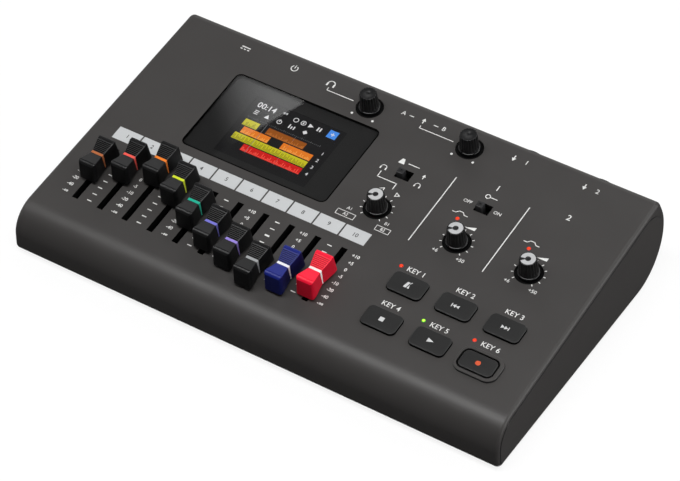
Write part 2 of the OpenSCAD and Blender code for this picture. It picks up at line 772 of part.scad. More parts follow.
module display_module() color("#202428") on_panel() translate(picture_at) {
  rise(-wall - module_t, -wall)
    square([picture_w + 2 * module_rim, picture_d + 2 * module_rim], center = true);
  rise(-wall - eps, -glass_sink - glass_t - picture_gap) square([picture_w, picture_d], center = true);
}

// Control board: a sheet parallel to the panel with a tongue for each of the two rear pots
module control_board() color("#1f5a38") on_panel() {
  front = fader_mid_v - fader_body_l / 2 - board_lip;
  half = inner_x - board_inset;
  rise(board_top - board_t, board_top) {
    translate([-half, front]) square([2 * half, board_rear_v - front]);
    for (k = [0, 1]) translate([KNOBS[k][1].x - pot_w / 2 - tongue_lip, board_rear_v - eps])
      square([pot_w + 2 * tongue_lip, KNOBS[k][1].y + pot_d / 2 - board_rear_v + eps]);
  }
}

module jack_board() color("#1f5a38") {
  left = hole_gap - inner_x;
  translate([left, jack_board_y, jack_z - board_t])
    cube([combo_x[1] + combo_w / 2 - left, jack_board_d, board_t]);
}

module fader_bodies() color("#a8abad") on_panel()
  for (k = indices(fader_set)) translate([fader_x(k), fader_mid_v]) difference() {
    rise(board_top, body_top) square([fader_body_w, fader_body_l], center = true);
    rise(board_top + fader_body_t, body_top - fader_body_t)
      square([fader_body_w - 2 * fader_body_t, bed_l], center = true);
    rise(board_top + fader_body_t, body_top + over) square([slot_w, slot_l], center = true);
  }

// A lever stands on its carriage, which slides in the housing just under its roof
module fader_lever(k) color("#9a9da0") on_panel() translate([fader_x(k), fader_v(k)]) {
  rise(carriage_top - carriage_h, carriage_top)
    square([fader_body_w - 2 * fader_body_t - 2 * slot_end, carriage_l], center = true);
  rise(carriage_top - eps, lever_top) square([lever_t, lever_l], center = true);
}

// Cap: the side outline, the waisted plan and the drafted end view cut each other
module fader_cap(k, shade) color(shade) on_panel() translate([fader_x(k), fader_v(k)]) {
  half = cap_l / 2;
  top = half - cap_lean;
  crest = cap_crest;
  end_c = [top - cap_round, cap_top - cap_round];
  rib_pitch = (crest - groove_w - line_w) / rib_count;
  ribs = [for (i = [rib_count - 1:-1:0], s = [0.5, 0])
    let (v = line_w + (i + s) * rib_pitch) [v, cap_slope(v) + (s > 0 ? rib_h : 0)]];
  side = concat(
    [[-half, cap_gap], [half, cap_gap]],
    arc(end_c, cap_round, 0, 90, 4),
    [[crest + crest_step, cap_top], [crest, cap_slope(crest)]],
    ribs,
    [[0, valley], [groove_w - crest, cap_slope(crest - groove_w)],
     [groove_w / 2 - crest, cap_slope(crest) - groove_w / 2], [-crest, cap_slope(crest)],
     [-crest - crest_step, cap_top]],
    arc([-end_c.x, end_c.y], cap_round, 90, 180, 4));
  quarter = [[cap_waist / 2, 0], [cap_w / 2, crest], [cap_w / 2, half - cap_corner],
             [cap_w / 2 - cap_corner, half]];
  plan = concat(
    quarter,
    [for (i = [3:-1:0]) [-quarter[i].x, quarter[i].y]],
    [for (i = [1:3]) -quarter[i]],
    [for (i = [3:-1:1]) [quarter[i].x, -quarter[i].y]]);
  flank = cap_w / 2 - cap_draft;
  difference() {
    union() {
      difference() {
        intersection() {
          across(cap_w) polygon(side);
          rise(0, cap_top + over) polygon(plan);
          rotate([90, 0, 0]) linear_extrude(cap_l + over, center = true)
            polygon([[-cap_w / 2, cap_gap], [cap_w / 2, cap_gap], [flank, cap_top + over],
                     [-flank, cap_top + over]]);
        }
        rise(0, cap_top) square([cap_w + over, line_w], center = true);
      }
      rise(cap_gap, valley - line_t) square([cap_waist - 2 * line_t, line_w + eps], center = true);
    }
    rise(0, lever_top + lever_fit)
      square([lever_t + 2 * lever_fit, lever_l + 2 * lever_fit], center = true);
  }
}

// Knob: a turned body with a skirt, flutes along its draft and a pointer groove on top
module knob(i, shade) color(shade) on_panel() translate(KNOBS[i][1]) rotate(knob_set) {
  draft = atan((grip_r - knob_top_r) / (knob_h - skirt_h));
  difference() {
    rotate_extrude() polygon([[0, skirt_low], [skirt_r, skirt_low], [skirt_r, skirt_h - knob_edge],
      [skirt_r - knob_edge, skirt_h], [grip_r, skirt_h], [knob_top_r, knob_h - knob_edge],
      [knob_top_r - knob_edge, knob_h], [0, knob_h]]);
    for (j = [0:flute_count - 1]) rotate((j + 0.5) * 360 / flute_count)
      translate([grip_r + flute_r - flute_depth, 0, skirt_h + band_h]) rotate([0, -draft, 0])
        cylinder(r = flute_r, h = knob_h);
    translate([-pointer_w / 2, pointer_in, knob_h - pointer_t]) cube([pointer_w, knob_top_r, over]);
    rise(skirt_low - over, shaft_top + knob_fit) circle(shaft_r + knob_fit);
  }
}

module shaft(i) color("#b4b6b8") on_panel() translate(KNOBS[i][1])
  rise(board_top + pot_floor + skirt_gap, shaft_top) circle(shaft_r);

module pot_bodies() color("#6f7274") on_panel() for (knob = KNOBS) translate(knob[1]) difference() {
  union() {
    rise(board_top, board_top + pot_h) square([pot_w, pot_d], center = true);
    rise(board_top, -wall) circle(shaft_r + bush_t);
  }
  rise(board_top + pot_floor, over) circle(shaft_r + shaft_fit);
}

// Key: a bevelled cap, a flange that keeps it under the panel and a stem into its switch
module key(i) color("#38393a") on_panel() translate(key_place(i)) {
  hull() {
    rise(flange_top - eps, key_h - key_bevel) round_rect(key_w, key_d, key_r);
    rise(0, key_h) round_rect(key_w - 2 * key_bevel, key_d - 2 * key_bevel, key_r - key_bevel);
  }
  rise(flange_low, flange_top) square([key_w + 2 * key_flange, key_d + 2 * key_flange], center = true);
  rise(tact_top - key_travel, flange_low + eps) circle(stem_r);
}

module tact_switches() color("#2b2b2b") on_panel()
  for (i = indices(KEYS)) translate(key_place(i)) difference() {
    rise(board_top, tact_top) square([tact_w, tact_w], center = true);
    rise(tact_top - 2 * key_travel - stem_room, tact_top + over) circle(stem_r + shaft_fit);
  }

// Panel slide switch nub, at the left end of its travel
module switch_nub(i) color("#333435") on_panel()
  translate(SLIDES[i][1] - [slide_travel / 2, 0])
    rise(board_top + slide_body_t + nub_gap, nub_h) square([nub_w, nub_w], center = true);

module slide_switch_bodies() color("#8f9294") {
  room = [nub_w + slide_travel, nub_w] + 2 * slot_end * [1, 1];
  on_panel() for (slide = SLIDES) translate(slide[1]) difference() {
    rise(board_top, board_top + slide_body_h) square(room + 2 * slide_body_t * [1, 1], center = true);
    rise(board_top + slide_body_t, board_top + slide_body_h + over) square(room, center = true);
  }
  translate([power_x, 0, power_z]) difference() {
    rearwards(rear_in - power_body_l, rear_in)
      square([power_slot.x + 2 * power_body_t, power_body_h], center = true);
    rearwards(rear_in - power_body_l + slide_body_t, rear_in + over) square(power_slot, center = true);
  }
}

// Power switch nub, at the left end of its travel, with grooves across it
module power_slider() color("#2a2a2a") translate([power_x - power_travel / 2, 0, power_z]) {
  tip = case_d / 2 - power_back;
  difference() {
    rearwards(rear_in - power_body_l + slide_body_t + nub_gap, tip)
      square([power_nub_w, power_nub_h], center = true);
    for (i = [-1:1]) translate([i * 2 * nub_groove, tip, 0])
      cube([nub_groove, 2 * nub_groove, power_nub_h + over], center = true);
  }
}

module red_leds() color("#ff4628") on_panel() for (lamp = red_lamps) translate(lamp) lamp_body();

module green_led() color("#96f032") on_panel() translate(green_lamp) lamp_body();

// Lamp: a light guide with a bevelled top, standing on the board
module lamp_body() {
  rotate_extrude() polygon([[0, board_top], [lamp_r + lamp_flange, board_top],
    [lamp_r + lamp_flange, board_top + lamp_flange_t], [lamp_r, board_top + lamp_flange_t],
    [lamp_r, lamp_h - lamp_bevel], [lamp_r - lamp_bevel, lamp_h], [0, lamp_h]]);
}

module line_jacks() color("#141414")
  for (x = line_jack_x) translate([x, 0, jack_z + jack_body_h / 2]) difference() {
    tip = case_d / 2 - jack_back;
    union() {
      rearwards(rear_in - jack_l, rear_in) square([jack_w, jack_body_h], center = true);
      rearwards(rear_in - eps, tip) circle(jack_nose_r);
    }
    rearwards(tip - plug_depth, tip + over) circle(plug_r);
  }

// Combined input socket: a plug hole, three contact holes and a ring gap round them
module combo_jacks() color("#141414")
  for (x = combo_x) translate([x, 0, jack_z + combo_h / 2]) difference() {
    tip = case_d / 2 - combo_back;
    union() {
      rearwards(rear_in - combo_l, rear_in) square([combo_w, combo_h], center = true);
      rearwards(rear_in - eps, tip) circle(combo_r);
    }
    rearwards(tip - combo_plug_depth, tip + over) circle(plug_r);
    rearwards(tip - ring_depth, tip + over) difference() {
      circle(ring_out_r);
      circle(ring_in_r);
    }
    for (a = [90, 210, 330]) rotate([0, a, 0]) translate([(plug_r + ring_in_r) / 2, 0, 0])
      rearwards(tip - ring_depth, tip + over) circle(contact_r);
  }

// Power and data inlet: a rounded shell with a tongue inside
module usb_socket() color("#b9bcbe") translate([usb_x, 0, jack_z + usb_h / 2]) {
  back = recess_y - usb_l;
  difference() {
    rearwards(back, recess_y) round_rect(usb_w, usb_h, usb_h / 2 - eps);
    rearwards(back + over, recess_y + over)
      round_rect(usb_w - 2 * usb_t, usb_h - 2 * usb_t, usb_h / 2 - usb_t - eps);
  }
  rearwards(back + over - eps, recess_y - tongue_back) square([tongue_w, tongue_t], center = true);
}

// Memory card holder against the left side wall
module card_holder() color("#b9bcbe") translate([hole_gap - card_x, card_y, jack_z]) difference() {
  pocket = [holder_l - holder_t + over, card_w + 2 * card_fit, card_t + 2 * card_fit];
  outside = [holder_l, pocket.y + 2 * holder_t, pocket.z + 2 * holder_floor];
  translate([0, -outside.y / 2, 0]) cube(outside);
  translate([-over, -pocket.y / 2, holder_floor]) cube(pocket);
}

// Contact plates on both ends of the bay, with a spring for one cell and a button for the other
module battery_contacts() color("#c7c9ca") for (side = [-1, 1], row = [-1, 1])
  translate([side * bay_l / 2, bay_y + row * (cell_r + cell_room / 2), bay_top - cell_room - cell_r]) {
    translate([-side * contact_t / 2, 0, 0]) cube([contact_t, contact_w, contact_w], center = true);
    rotate([0, -90 * side, 0])
      cylinder(r = side * row > 0 ? button_r : spring_r, h = contact_room - cell_room);
  }

black = "#161617";

top_case();
bottom_case();
battery_door();
rubber_feet();
case_screws();
screen_window();
display_module();
control_board();
jack_board();
fader_bodies();
pot_bodies();
tact_switches();
slide_switch_bodies();
power_slider();
red_leds();
green_led();
line_jacks();
combo_jacks();
usb_socket();
card_holder();
battery_contacts();
for (k = indices(fader_set)) {
  left = len(fader_set) - k;
  shade = left == 2 ? "#192378" : left == 1 ? "#eb2837" : black;
  fader_cap(k, shade);
  fader_lever(k);
}
for (i = indices(KNOBS)) {
  knob(i, black);
  shaft(i);
}
for (i = indices(KEYS)) key(i);
for (i = indices(SLIDES)) switch_nub(i);
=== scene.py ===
# %% [markdown]
# A desktop multitrack recorder, dressed for its portrait.
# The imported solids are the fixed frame: they give every place and size. This lesson lays the looks
# over them, piece by piece: moulded plastic, printed marks, a lit display, knobs, keys and faders.

# %% The frame
import json
import math

import bmesh
import bpy
import numpy as np
from mathutils import Matrix, Vector


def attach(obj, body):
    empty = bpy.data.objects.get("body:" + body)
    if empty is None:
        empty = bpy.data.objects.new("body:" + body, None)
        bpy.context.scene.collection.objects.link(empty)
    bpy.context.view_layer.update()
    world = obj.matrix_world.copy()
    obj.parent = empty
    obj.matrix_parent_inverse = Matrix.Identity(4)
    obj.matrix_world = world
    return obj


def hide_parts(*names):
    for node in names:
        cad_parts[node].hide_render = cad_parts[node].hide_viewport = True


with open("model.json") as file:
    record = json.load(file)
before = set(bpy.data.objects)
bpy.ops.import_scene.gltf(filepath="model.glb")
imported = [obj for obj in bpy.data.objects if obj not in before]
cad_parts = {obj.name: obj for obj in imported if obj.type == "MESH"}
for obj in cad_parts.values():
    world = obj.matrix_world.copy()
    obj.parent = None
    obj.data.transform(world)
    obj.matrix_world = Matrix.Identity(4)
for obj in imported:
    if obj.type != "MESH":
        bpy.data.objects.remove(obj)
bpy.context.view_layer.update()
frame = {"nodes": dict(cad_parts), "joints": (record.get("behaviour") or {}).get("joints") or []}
MM = 0.001

# %% [markdown]
# The control panel slopes, so nearly everything on it is easier to place in the panel's own axes:
# x across, v up the slope and w out of the panel. The joints already hold these directions. A fader
# slides along v and a knob turns about w, so the axes are read from them and not typed in again.

# %% Panel axes
joints = {joint["name"]: joint for joint in frame["joints"]}
BALANCE_V = -25.66    # where the balance knob stands on the panel, in mm
PIVOT_W = 4.0         # its turning point lies this far out of the panel, in mm
up = np.array(joints["fader_1_slide"]["axis"])
out = np.array(joints["knob_balance_turn"]["axis"])
pivot = np.array(joints["knob_balance_turn"]["pos_m"]) / MM
root = pivot * (0, 1, 1) - BALANCE_V * up - PIVOT_W * out


def on_panel(x, v, w):
    """Panel millimetres to frame metres: root + v along the slope + w outwards, with x as it is."""
    x, v, w = np.broadcast_arrays(np.asarray(x, float), v, w)
    point = root + v[..., None] * up + w[..., None] * out
    point[..., 0] = x
    return point * MM


def pulled(items, title, width=3, kind=np.float32):
    """One property of all corners or faces of a mesh, as an array with a row for each."""
    flat = np.empty(len(items) * width, kind)
    items.foreach_get(title, flat)
    return flat.reshape(-1, width)


def corners(node):
    """All corners of a CAD node in frame metres, as an n by 3 array."""
    return pulled(frame["nodes"][node].data.vertices, "co").astype(float)


def panel_reach(node):
    """Lowest and highest (x, v, w) of a CAD node in mm, measured along the panel's axes."""
    away = corners(node) / MM - root
    local = np.stack([away[:, 0], away @ up, away @ out], 1)
    return local.min(0), local.max(0)


def panel_middle(node):
    """Middle (x, v, w) of a CAD node in mm."""
    return sum(panel_reach(node)) / 2


print("panel slopes", round(math.degrees(math.asin(up[2])), 2), "degrees")

# %% [markdown]
# Every new piece here is a grid of points worked out at once with numpy. Neighbours in the grid
# are joined by four-sided faces. Modelling by hand would do too, but a formula can be tuned in one
# line and always gives the same piece.

# %% Mesh helpers


def grid_faces(rows, cols, wrap_rows=False, wrap_cols=False):
    """Quads between neighbours of a grid that is stored row by row."""
    i = np.arange(rows if wrap_rows else rows - 1)[:, None]
    j = np.arange(cols if wrap_cols else cols - 1)[None, :]
    i2 = (i + 1) % rows
    j2 = (j + 1) % cols
    quads = [i * cols + j, i2 * cols + j, i2 * cols + j2, i * cols + j2]
    return np.stack(np.broadcast_arrays(*quads), -1).reshape(-1, 4).tolist()


def tube_faces(rows, cols):
    """A grid closed round its columns, with its first and last row filled."""
    first = list(range(cols))
    last = list(range((rows - 1) * cols, rows * cols))
    return grid_faces(rows, cols, wrap_cols=True) + [first, last]


def join(parts):
    """Several (points, faces) pairs as one, with the face numbers moved on."""
    points = np.concatenate([p for p, f in parts])
    starts = np.cumsum([0] + [len(p) for p, f in parts[:-1]])
    faces = [[k + int(start) for k in face] for start, (p, f) in zip(starts, parts) for face in f]
    return points, faces


def new_object(name, data):
    """A new object of the scene."""
    thing = bpy.data.objects.new(name, data)
    bpy.context.scene.collection.objects.link(thing)
    return thing


def add_piece(name, shape, material, body="case", angle=35):
    """Makes (points in metres, faces) a smooth-shaded piece that rides on a body."""
    points, faces = shape
    mesh = bpy.data.meshes.new(name)
    mesh.from_pydata(np.asarray(points).reshape(-1, 3).tolist(), [], faces)
    return dress(name, mesh, material, body, angle)


def dress(name, mesh, material, body="case", angle=35):
    """Merges doubles, turns faces outwards, smooths below an angle and adds material and body."""
    work = bmesh.new()
    work.from_mesh(mesh)
    bmesh.ops.remove_doubles(work, verts=work.verts, dist=0.0005 * MM)
    bmesh.ops.recalc_face_normals(work, faces=work.faces)
    work.to_mesh(mesh)
    work.free()
    mesh.shade_smooth()
    mesh.set_sharp_from_angle(angle=math.radians(angle))
    mesh.materials.clear()
    mesh.materials.append(material)
    piece = new_object(name, mesh)
    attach(piece, body)
    return piece


def merged_copy(name, node, material, body="case", angle=35):
    """A copy of a CAD node with its loose triangles merged, so that it can be shaded smooth."""
    mesh = frame["nodes"][node].data.copy()
    mesh.name = name
    if "custom_normal" in mesh.attributes:
        mesh.attributes.remove(mesh.attributes["custom_normal"])
    piece = dress(name, mesh, material, body, angle)
    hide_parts(node)
    even = piece.modifiers.new("even_shading", "WEIGHTED_NORMAL")
    even.mode = "FACE_AREA_WITH_ANGLE"
    even.weight = 100
    even.keep_sharp = True
    return piece


def face_places(mesh):
    """Each face's middle as x, v and w in mm, and how far its normal points out of the panel."""
    away = pulled(mesh.polygons, "center") / MM - root
    return away[:, 0], away @ up, away @ out, pulled(mesh.polygons, "normal") @ out


def second_material(piece, material, chosen):
    """Gives the chosen faces of a piece another material and leaves the others as they are."""
    index = pulled(piece.data.polygons, "material_index", 1, np.int32).ravel()
    index[chosen] = len(piece.data.materials)
    piece.data.materials.append(material)
    piece.data.polygons.foreach_set("material_index", index)
    piece.data.update()


# %% [markdown]
# Moulded plastic is never one flat colour. A fine spark-eroded grain breaks up the light, and broad
# faint patches vary the gloss. Many materials share this, so it is one node group with sockets for
# the amounts. It reads Object coordinates, which stay with the piece when it moves.

# %% Shader groups


def srgb(code):
    """Hex colour to linear light: ((c + 0.055) / 1.055) ** 2.4, or c / 12.92 near black."""
    c = np.array([int(code[i:i + 2], 16) for i in (0, 2, 4)]) / 255
    linear = np.where(c <= 0.04045, c / 12.92, ((c + 0.055) / 1.055) ** 2.4)
    return (*linear.tolist(), 1.0)


def new_group(name, inputs, outputs):
    """An empty shader group with the named sockets, its input node and its output node."""
    group = bpy.data.node_groups.new(name, "ShaderNodeTree")
    for title, kind, value in inputs:
        socket = group.interface.new_socket(title, in_out="INPUT", socket_type=kind)
        socket.default_value = value
    for title, kind in outputs:
        group.interface.new_socket(title, in_out="OUTPUT", socket_type=kind)
    return group, group.nodes.new("NodeGroupInput"), group.nodes.new("NodeGroupOutput")


def add_node(tree, kind, links=(), **settings):
    """A node with settings, whose inputs take links: pairs of input name or number and a source."""
    node = tree.nodes.new(kind)
    for key, value in settings.items():
        setattr(node, key, value)
    for target, source in links:
        socket = node.inputs[target]
        if isinstance(source, bpy.types.NodeSocket):
            tree.links.new(source, socket)
        else:
            socket.default_value = source
    return node


def maths(tree, operation, *values, **settings):
    """The result of a Math node whose inputs are sockets or plain numbers."""
    node = add_node(tree, "ShaderNodeMath", enumerate(values), operation=operation, **settings)
    return node.outputs[0]


def make_moulded_skin():
    """Colour times 1 + tone * noise, roughness + spread * noise, and a bump from a fine grain."""
    number = "NodeSocketFloat"
    group, given, result = new_group(
        "moulded_skin",
        [("Color", "NodeSocketColor", (0.1, 0.1, 0.1, 1)), ("Tone", number, 0.1),
         ("Roughness", number, 0.5), ("Spread", number, 0.1), ("Patch", number, 60.0),
         ("Grain", number, 3000.0), ("Depth", number, 0.00001)],
        [("Color", "NodeSocketColor"), ("Roughness", number), ("Normal", "NodeSocketVector")])
    place = add_node(group, "ShaderNodeTexCoord").outputs["Object"]
    patch = add_node(group, "ShaderNodeTexNoise",
                     [("Vector", place), ("Scale", given.outputs["Patch"]), ("Detail", 4.0)])
    grain = add_node(group, "ShaderNodeTexNoise",
                     [("Vector", place), ("Scale", given.outputs["Grain"]), ("Detail", 2.0)])
    swing = maths(group, "SUBTRACT", patch.outputs["Fac"], 0.5)
    speck = maths(group, "SUBTRACT", grain.outputs["Fac"], 0.5)
    both = maths(group, "ADD", swing, speck)
    gain = maths(group, "MULTIPLY_ADD", both, given.outputs["Tone"], 1.0)
    colour = add_node(group, "ShaderNodeVectorMath", [(0, given.outputs["Color"])],
                      operation="SCALE")
    group.links.new(gain, colour.inputs["Scale"])
    rough = maths(group, "MULTIPLY_ADD", both, given.outputs["Spread"], given.outputs["Roughness"],
                  use_clamp=True)
    bump = add_node(group, "ShaderNodeBump",
                    [("Height", grain.outputs["Fac"]), ("Distance", given.outputs["Depth"])])
    group.links.new(colour.outputs[0], result.inputs["Color"])
    group.links.new(rough, result.inputs["Roughness"])
    group.links.new(bump.outputs[0], result.inputs["Normal"])
    return group


moulded_skin = make_moulded_skin()


def plain_material(name):
    """A new material, its tree and its Principled shader."""
    material = bpy.data.materials.new(name)
    material.use_nodes = True
    tree = material.node_tree
    return material, tree, tree.nodes["Principled BSDF"]


def moulded(name, code, rough, tone=0.10, spread=0.10, patch=60.0, grain_mm=0.3, depth_mm=0.004,
            ior=1.46, **sockets):
    """Plastic, rubber or plain metal with the shared grain; sockets are set on the shader."""
    material, tree, shader = plain_material(name)
    skin = add_node(tree, "ShaderNodeGroup", node_tree=moulded_skin)
    amounts = {"Color": srgb(code), "Tone": tone, "Roughness": rough, "Spread": spread,
               "Patch": patch, "Grain": 1 / (grain_mm * MM), "Depth": depth_mm * MM}
    for title, value in amounts.items():
        skin.inputs[title].default_value = value
    tree.links.new(skin.outputs["Color"], shader.inputs["Base Color"])
    tree.links.new(skin.outputs["Roughness"], shader.inputs["Roughness"])
    tree.links.new(skin.outputs["Normal"], shader.inputs["Normal"])
    shader.inputs["IOR"].default_value = ior
    for title, value in sockets.items():
        shader.inputs[title.replace("_", " ").title()].default_value = value
    return material


def ink(name, code, rough, tone=0.04):
    """A smooth even coat of paint or print."""
    return moulded(name, code, rough, tone=tone, depth_mm=0.001)


def glowing(name, code, strength, base="0a0a0a", rough=0.25):
    """A lit surface: dark plastic that sends out its own colour."""
    material, tree, shader = plain_material(name)
    shader.inputs["Base Color"].default_value = srgb(base)
    shader.inputs["Roughness"].default_value = rough
    shader.inputs["Emission Color"].default_value = srgb(code)
    shader.inputs["Emission Strength"].default_value = strength
    return material


case_grey = moulded("case_grey", "403e3d", 0.42, grain_mm=0.28, depth_mm=0.005)
base_grey = moulded("base_grey", "373533", 0.5, grain_mm=0.4, depth_mm=0.010)
cap_black = moulded("cap_black", "121213", 0.36, depth_mm=0.002)
cap_blue = moulded("cap_blue", "10207c", 0.42, depth_mm=0.002)
# The red cap's faint emission is a painted glow that lifts its red; the red itself is the plastic's
# own colour.
cap_red = moulded("cap_red", "f01034", 0.42, depth_mm=0.002,
                  emission_color=srgb("f01034"), emission_strength=0.16)
knob_black = moulded("knob_black", "0f0f10", 0.4, depth_mm=0.001)
knob_gloss = moulded("knob_gloss", "0c0c0d", 0.14, depth_mm=0.0)
key_grey = moulded("key_grey", "282828", 0.36, depth_mm=0.003)
nub_black = moulded("nub_black", "242425", 0.4, depth_mm=0.002)
# deep_black serves mostly as painted shade: openings, gaps, grooves and parts seen deep inside them.
deep_black = moulded("deep_black", "070707", 0.8, ior=1.2)
rubber_black = moulded("rubber_black", "1b1b1b", 0.85, grain_mm=0.5, depth_mm=0.02)
ink_white = ink("ink_white", "e6e6e4", 0.6)
ink_strip = ink("ink_strip", "c9cbcc", 0.5, tone=0.03)
ink_dark = ink("ink_dark", "3a3b3c", 0.6)
icon_grey = ink("icon_grey", "d2d3d3", 0.5)
icon_record = ink("icon_record", "dc5a34", 0.45)
steel = moulded("steel", "b8babb", 0.3, tone=0.06, spread=0.2, depth_mm=0.001, metallic=1.0)
screw_black = moulded("screw_black", "4a4a4a", 0.35, spread=0.2, depth_mm=0.001, metallic=1.0)
board_green = moulded("board_green", "1f5a38", 0.5)
lamp_red = glowing("lamp_red", "b81c08", 1.0, base="801810")
lamp_green = glowing("lamp_green", "3c9a0c", 1.0, base="2c6a0c")
lamp_red_core = glowing("lamp_red_core", "ee3c10", 1.0, base="902410")
lamp_green_core = glowing("lamp_green_core", "c8ff50", 1.2, base="70c020")
print("materials:", len(bpy.data.materials))

# %% [markdown]
# The case is one moulded shell with a rounded nose and soft side edges. Its CAD mesh is loose
# triangles, which would shade as facets. A copy with its doubles merged shades smooth, and edges
# sharper than the angle stay crisp. A Weighted Normal modifier lets the broad flat panel win over
# the narrow roundings beside it. Little light gets into the openings, so their walls are black.

# %% Case
KNOBS = ("phones", "output", "balance", "gain_1", "gain_2")
WALL = 2.4            # thickness of the panel, in mm
DISH = (5.0, 7.2)     # the dish round a knob lies between these radii
DISH_W = (-1.0, -0.5)    # and its floor between these heights
PANEL_V = (-92, 36)      # reach of the panel's openings along v
PANEL_X = 122            # and to both sides
shell = merged_copy("top_shell", "top_case", case_grey, angle=32)
x, v, w, facing = face_places(shell.data)
knob_mid = np.array([panel_middle(f"knob_{name}")[:2] for name in KNOBS])
nearest = np.hypot(x[:, None] - knob_mid[:, 0], v[:, None] - knob_mid[:, 1]).min(1)
in_dish = (nearest > DISH[0]) & (nearest < DISH[1])
upright = (np.abs(facing) < 0.5) & (w > -WALL - 0.3) & (w < 0.9) & ~in_dish
floor_of_dish = (facing > 0.9) & (w < DISH_W[1]) & (w > DISH_W[0]) & (nearest < DISH[1])
on_top = (np.abs(x) < PANEL_X) & (v > PANEL_V[0]) & (v < PANEL_V[1])
# The openings' walls and the floors of the dishes round the knobs take deep_black: painted shade
# where little light gets in.
second_material(shell, deep_black, on_top & (upright | floor_of_dish))
merged_copy("base_shell", "bottom_case", base_grey, angle=32)
merged_copy("battery_lid", "battery_door", base_grey, body="battery_door")
merged_copy("feet", "rubber_feet", rubber_black)
SIDE_LEAN = math.tan(math.radians(2.5))
SHADOW_W = 0.3            # width of the shadow line round a side pad, in mm
SHADOW_LOW = -0.35      # its underside and its top lie this far from the pad's face
SHADOW_TOP = -0.08


def pad_seam(side):
    """A thin dark band round the outline of a side's outermost plane, a painted shadow line along
    the pad's edge, its points sorted by angle.
    """
    p = corners("top_case") / MM
    depth = side * p[:, 0] + SIDE_LEAN * p[:, 2]
    edge = np.unique(p[depth > depth.max() - 0.01][:, 1:].round(2), axis=0)
    away = edge - (edge.min(0) + edge.max(0)) / 2
    edge = edge[np.argsort(np.arctan2(away[:, 1], away[:, 0]))]
    along = np.roll(edge, -1, 0) - np.roll(edge, 1, 0)
    across = np.stack([along[:, 1], -along[:, 0]], 1) / np.linalg.norm(along, axis=1, keepdims=True)
    band = []
    for spread, level in ((0, SHADOW_LOW), (0, SHADOW_TOP), (SHADOW_W, SHADOW_TOP), (SHADOW_W, SHADOW_LOW)):
        y, z = (edge + spread * across).T
        band.append(np.stack([side * (depth.max() + level - SIDE_LEAN * z), y, z], 1) * MM)
    return np.stack(band, 1).reshape(-1, 3), grid_faces(len(edge), 4, True, True)


# The dark band is a painted shadow line round the edge of each side pad.
add_piece("pad_shadow_lines", join([pad_seam(-1), pad_seam(1)]), nub_black)


def finish_nodes(nodes, material):
    """CAD nodes whose shape is right as it is take a better material."""
    for node in nodes:
        mesh = frame["nodes"][node].data
        mesh.materials.clear()
        mesh.materials.append(material)


FADERS = range(1, 11)
KEYS = ("click", "rew", "ff", "stop", "play", "rec")
finish_nodes(["control_board", "jack_board"], board_green)
# The bodies seen through the slots are painted black: painted shade for the dark inside of the
# slots.
finish_nodes(["fader_bodies", "slide_switch_bodies", "tact_switches", "pot_bodies"], deep_black)
finish_nodes([f"fader_lever_{k}" for k in FADERS], deep_black)
finish_nodes([f"shaft_{name}" for name in KNOBS], steel)
finish_nodes(["usb_socket", "card_holder", "battery_contacts"], steel)

# %% [markdown]
# At the rear are the sockets. Each is plastic with a plug hole, lined by a bright sleeve that is
# turned: a small profile goes once round the hole's axis. The inputs also have a latch tab. Below,
# the battery lid has half-round finger ridges, and dark screws hold the base.

# %% Sockets, lid and screws
LINE_JACKS = [(-42, 24.0), (-2.5, 24.0), (20, 24.0)]    # (x, z) in mm
INPUTS = [(60.3, 26.7), (97, 26.7)]
LINE_Y, INPUT_Y = 74.7, 74.0
SLEEVE = [(3.15, -6), (3.15, 0.02), (3.3, 0.16), (3.65, 0.16), (3.8, 0.02), (3.8, -6)]
LIP = [(9.55, -0.5), (9.6, 0.25), (9.8, 0.45), (10.5, 0.45), (10.75, 0.2), (10.75, -0.5)]
ROUND = 64            # steps round a socket
LATCH_Z = 8.4         # height of a latch tab over its input
LATCH_HALF, LATCH_RISE, LATCH_DROP = 2.2, 1.6, 1.2
LATCH_ROWS = ((1, -0.4), (1, 0.3), (0.9, 0.45))    # (growth of the outline, distance behind)
socket_black = moulded("socket_black", "1b1b1c", 0.32, depth_mm=0.002)


def turned_rear(x, y, z, profile):
    """(radius, distance behind y) turned once about an axis to the rear through (x, z)."""
    angle = np.linspace(0, 2 * math.pi, ROUND, endpoint=False)
    radius, behind = np.array(profile, float).T[..., None]
    across, rise = radius * np.cos(angle), radius * np.sin(angle)
    points = np.stack(np.broadcast_arrays(x + across, y + behind, z + rise), -1)
    return points.reshape(-1, 3) * MM, grid_faces(len(profile), ROUND, True, True)


def latch_tab(x, z):
    """A small plate over an input, its outline a half circle on a bar."""
    a = np.linspace(0, math.pi, 17)
    across = np.append(LATCH_HALF * np.cos(a), [-LATCH_HALF, LATCH_HALF])
    rise = np.append(LATCH_RISE * np.sin(a), [-LATCH_DROP, -LATCH_DROP])
    rows = [np.stack([x + grow * across, np.full(len(across), INPUT_Y + behind),
                      z + LATCH_Z + grow * rise], 1) for grow, behind in LATCH_ROWS]
    return np.concatenate(rows) * MM, tube_faces(len(rows), len(across))


for name, node, mouth in (("jack_collars", "line_jacks", LINE_Y),
                          ("input_bodies", "combo_jacks", INPUT_Y)):
    collar = merged_copy(name, node, socket_black)
    # Faces inside a plug hole are painted black: painted shade deep in the hole.
    inside = pulled(collar.data.polygons, "center")[:, 1] / MM < mouth - 0.05
    second_material(collar, deep_black, inside)
sleeves = [turned_rear(x, LINE_Y, z, SLEEVE) for x, z in LINE_JACKS]
sleeves += [turned_rear(x, INPUT_Y, z, SLEEVE) for x, z in INPUTS]
sleeves += [latch_tab(x, z) for x, z in INPUTS]
add_piece("socket_sleeves", join(sleeves), steel)
lips = [turned_rear(x, INPUT_Y, z, LIP) for x, z in INPUTS]
add_piece("input_lips", join(lips), socket_black)

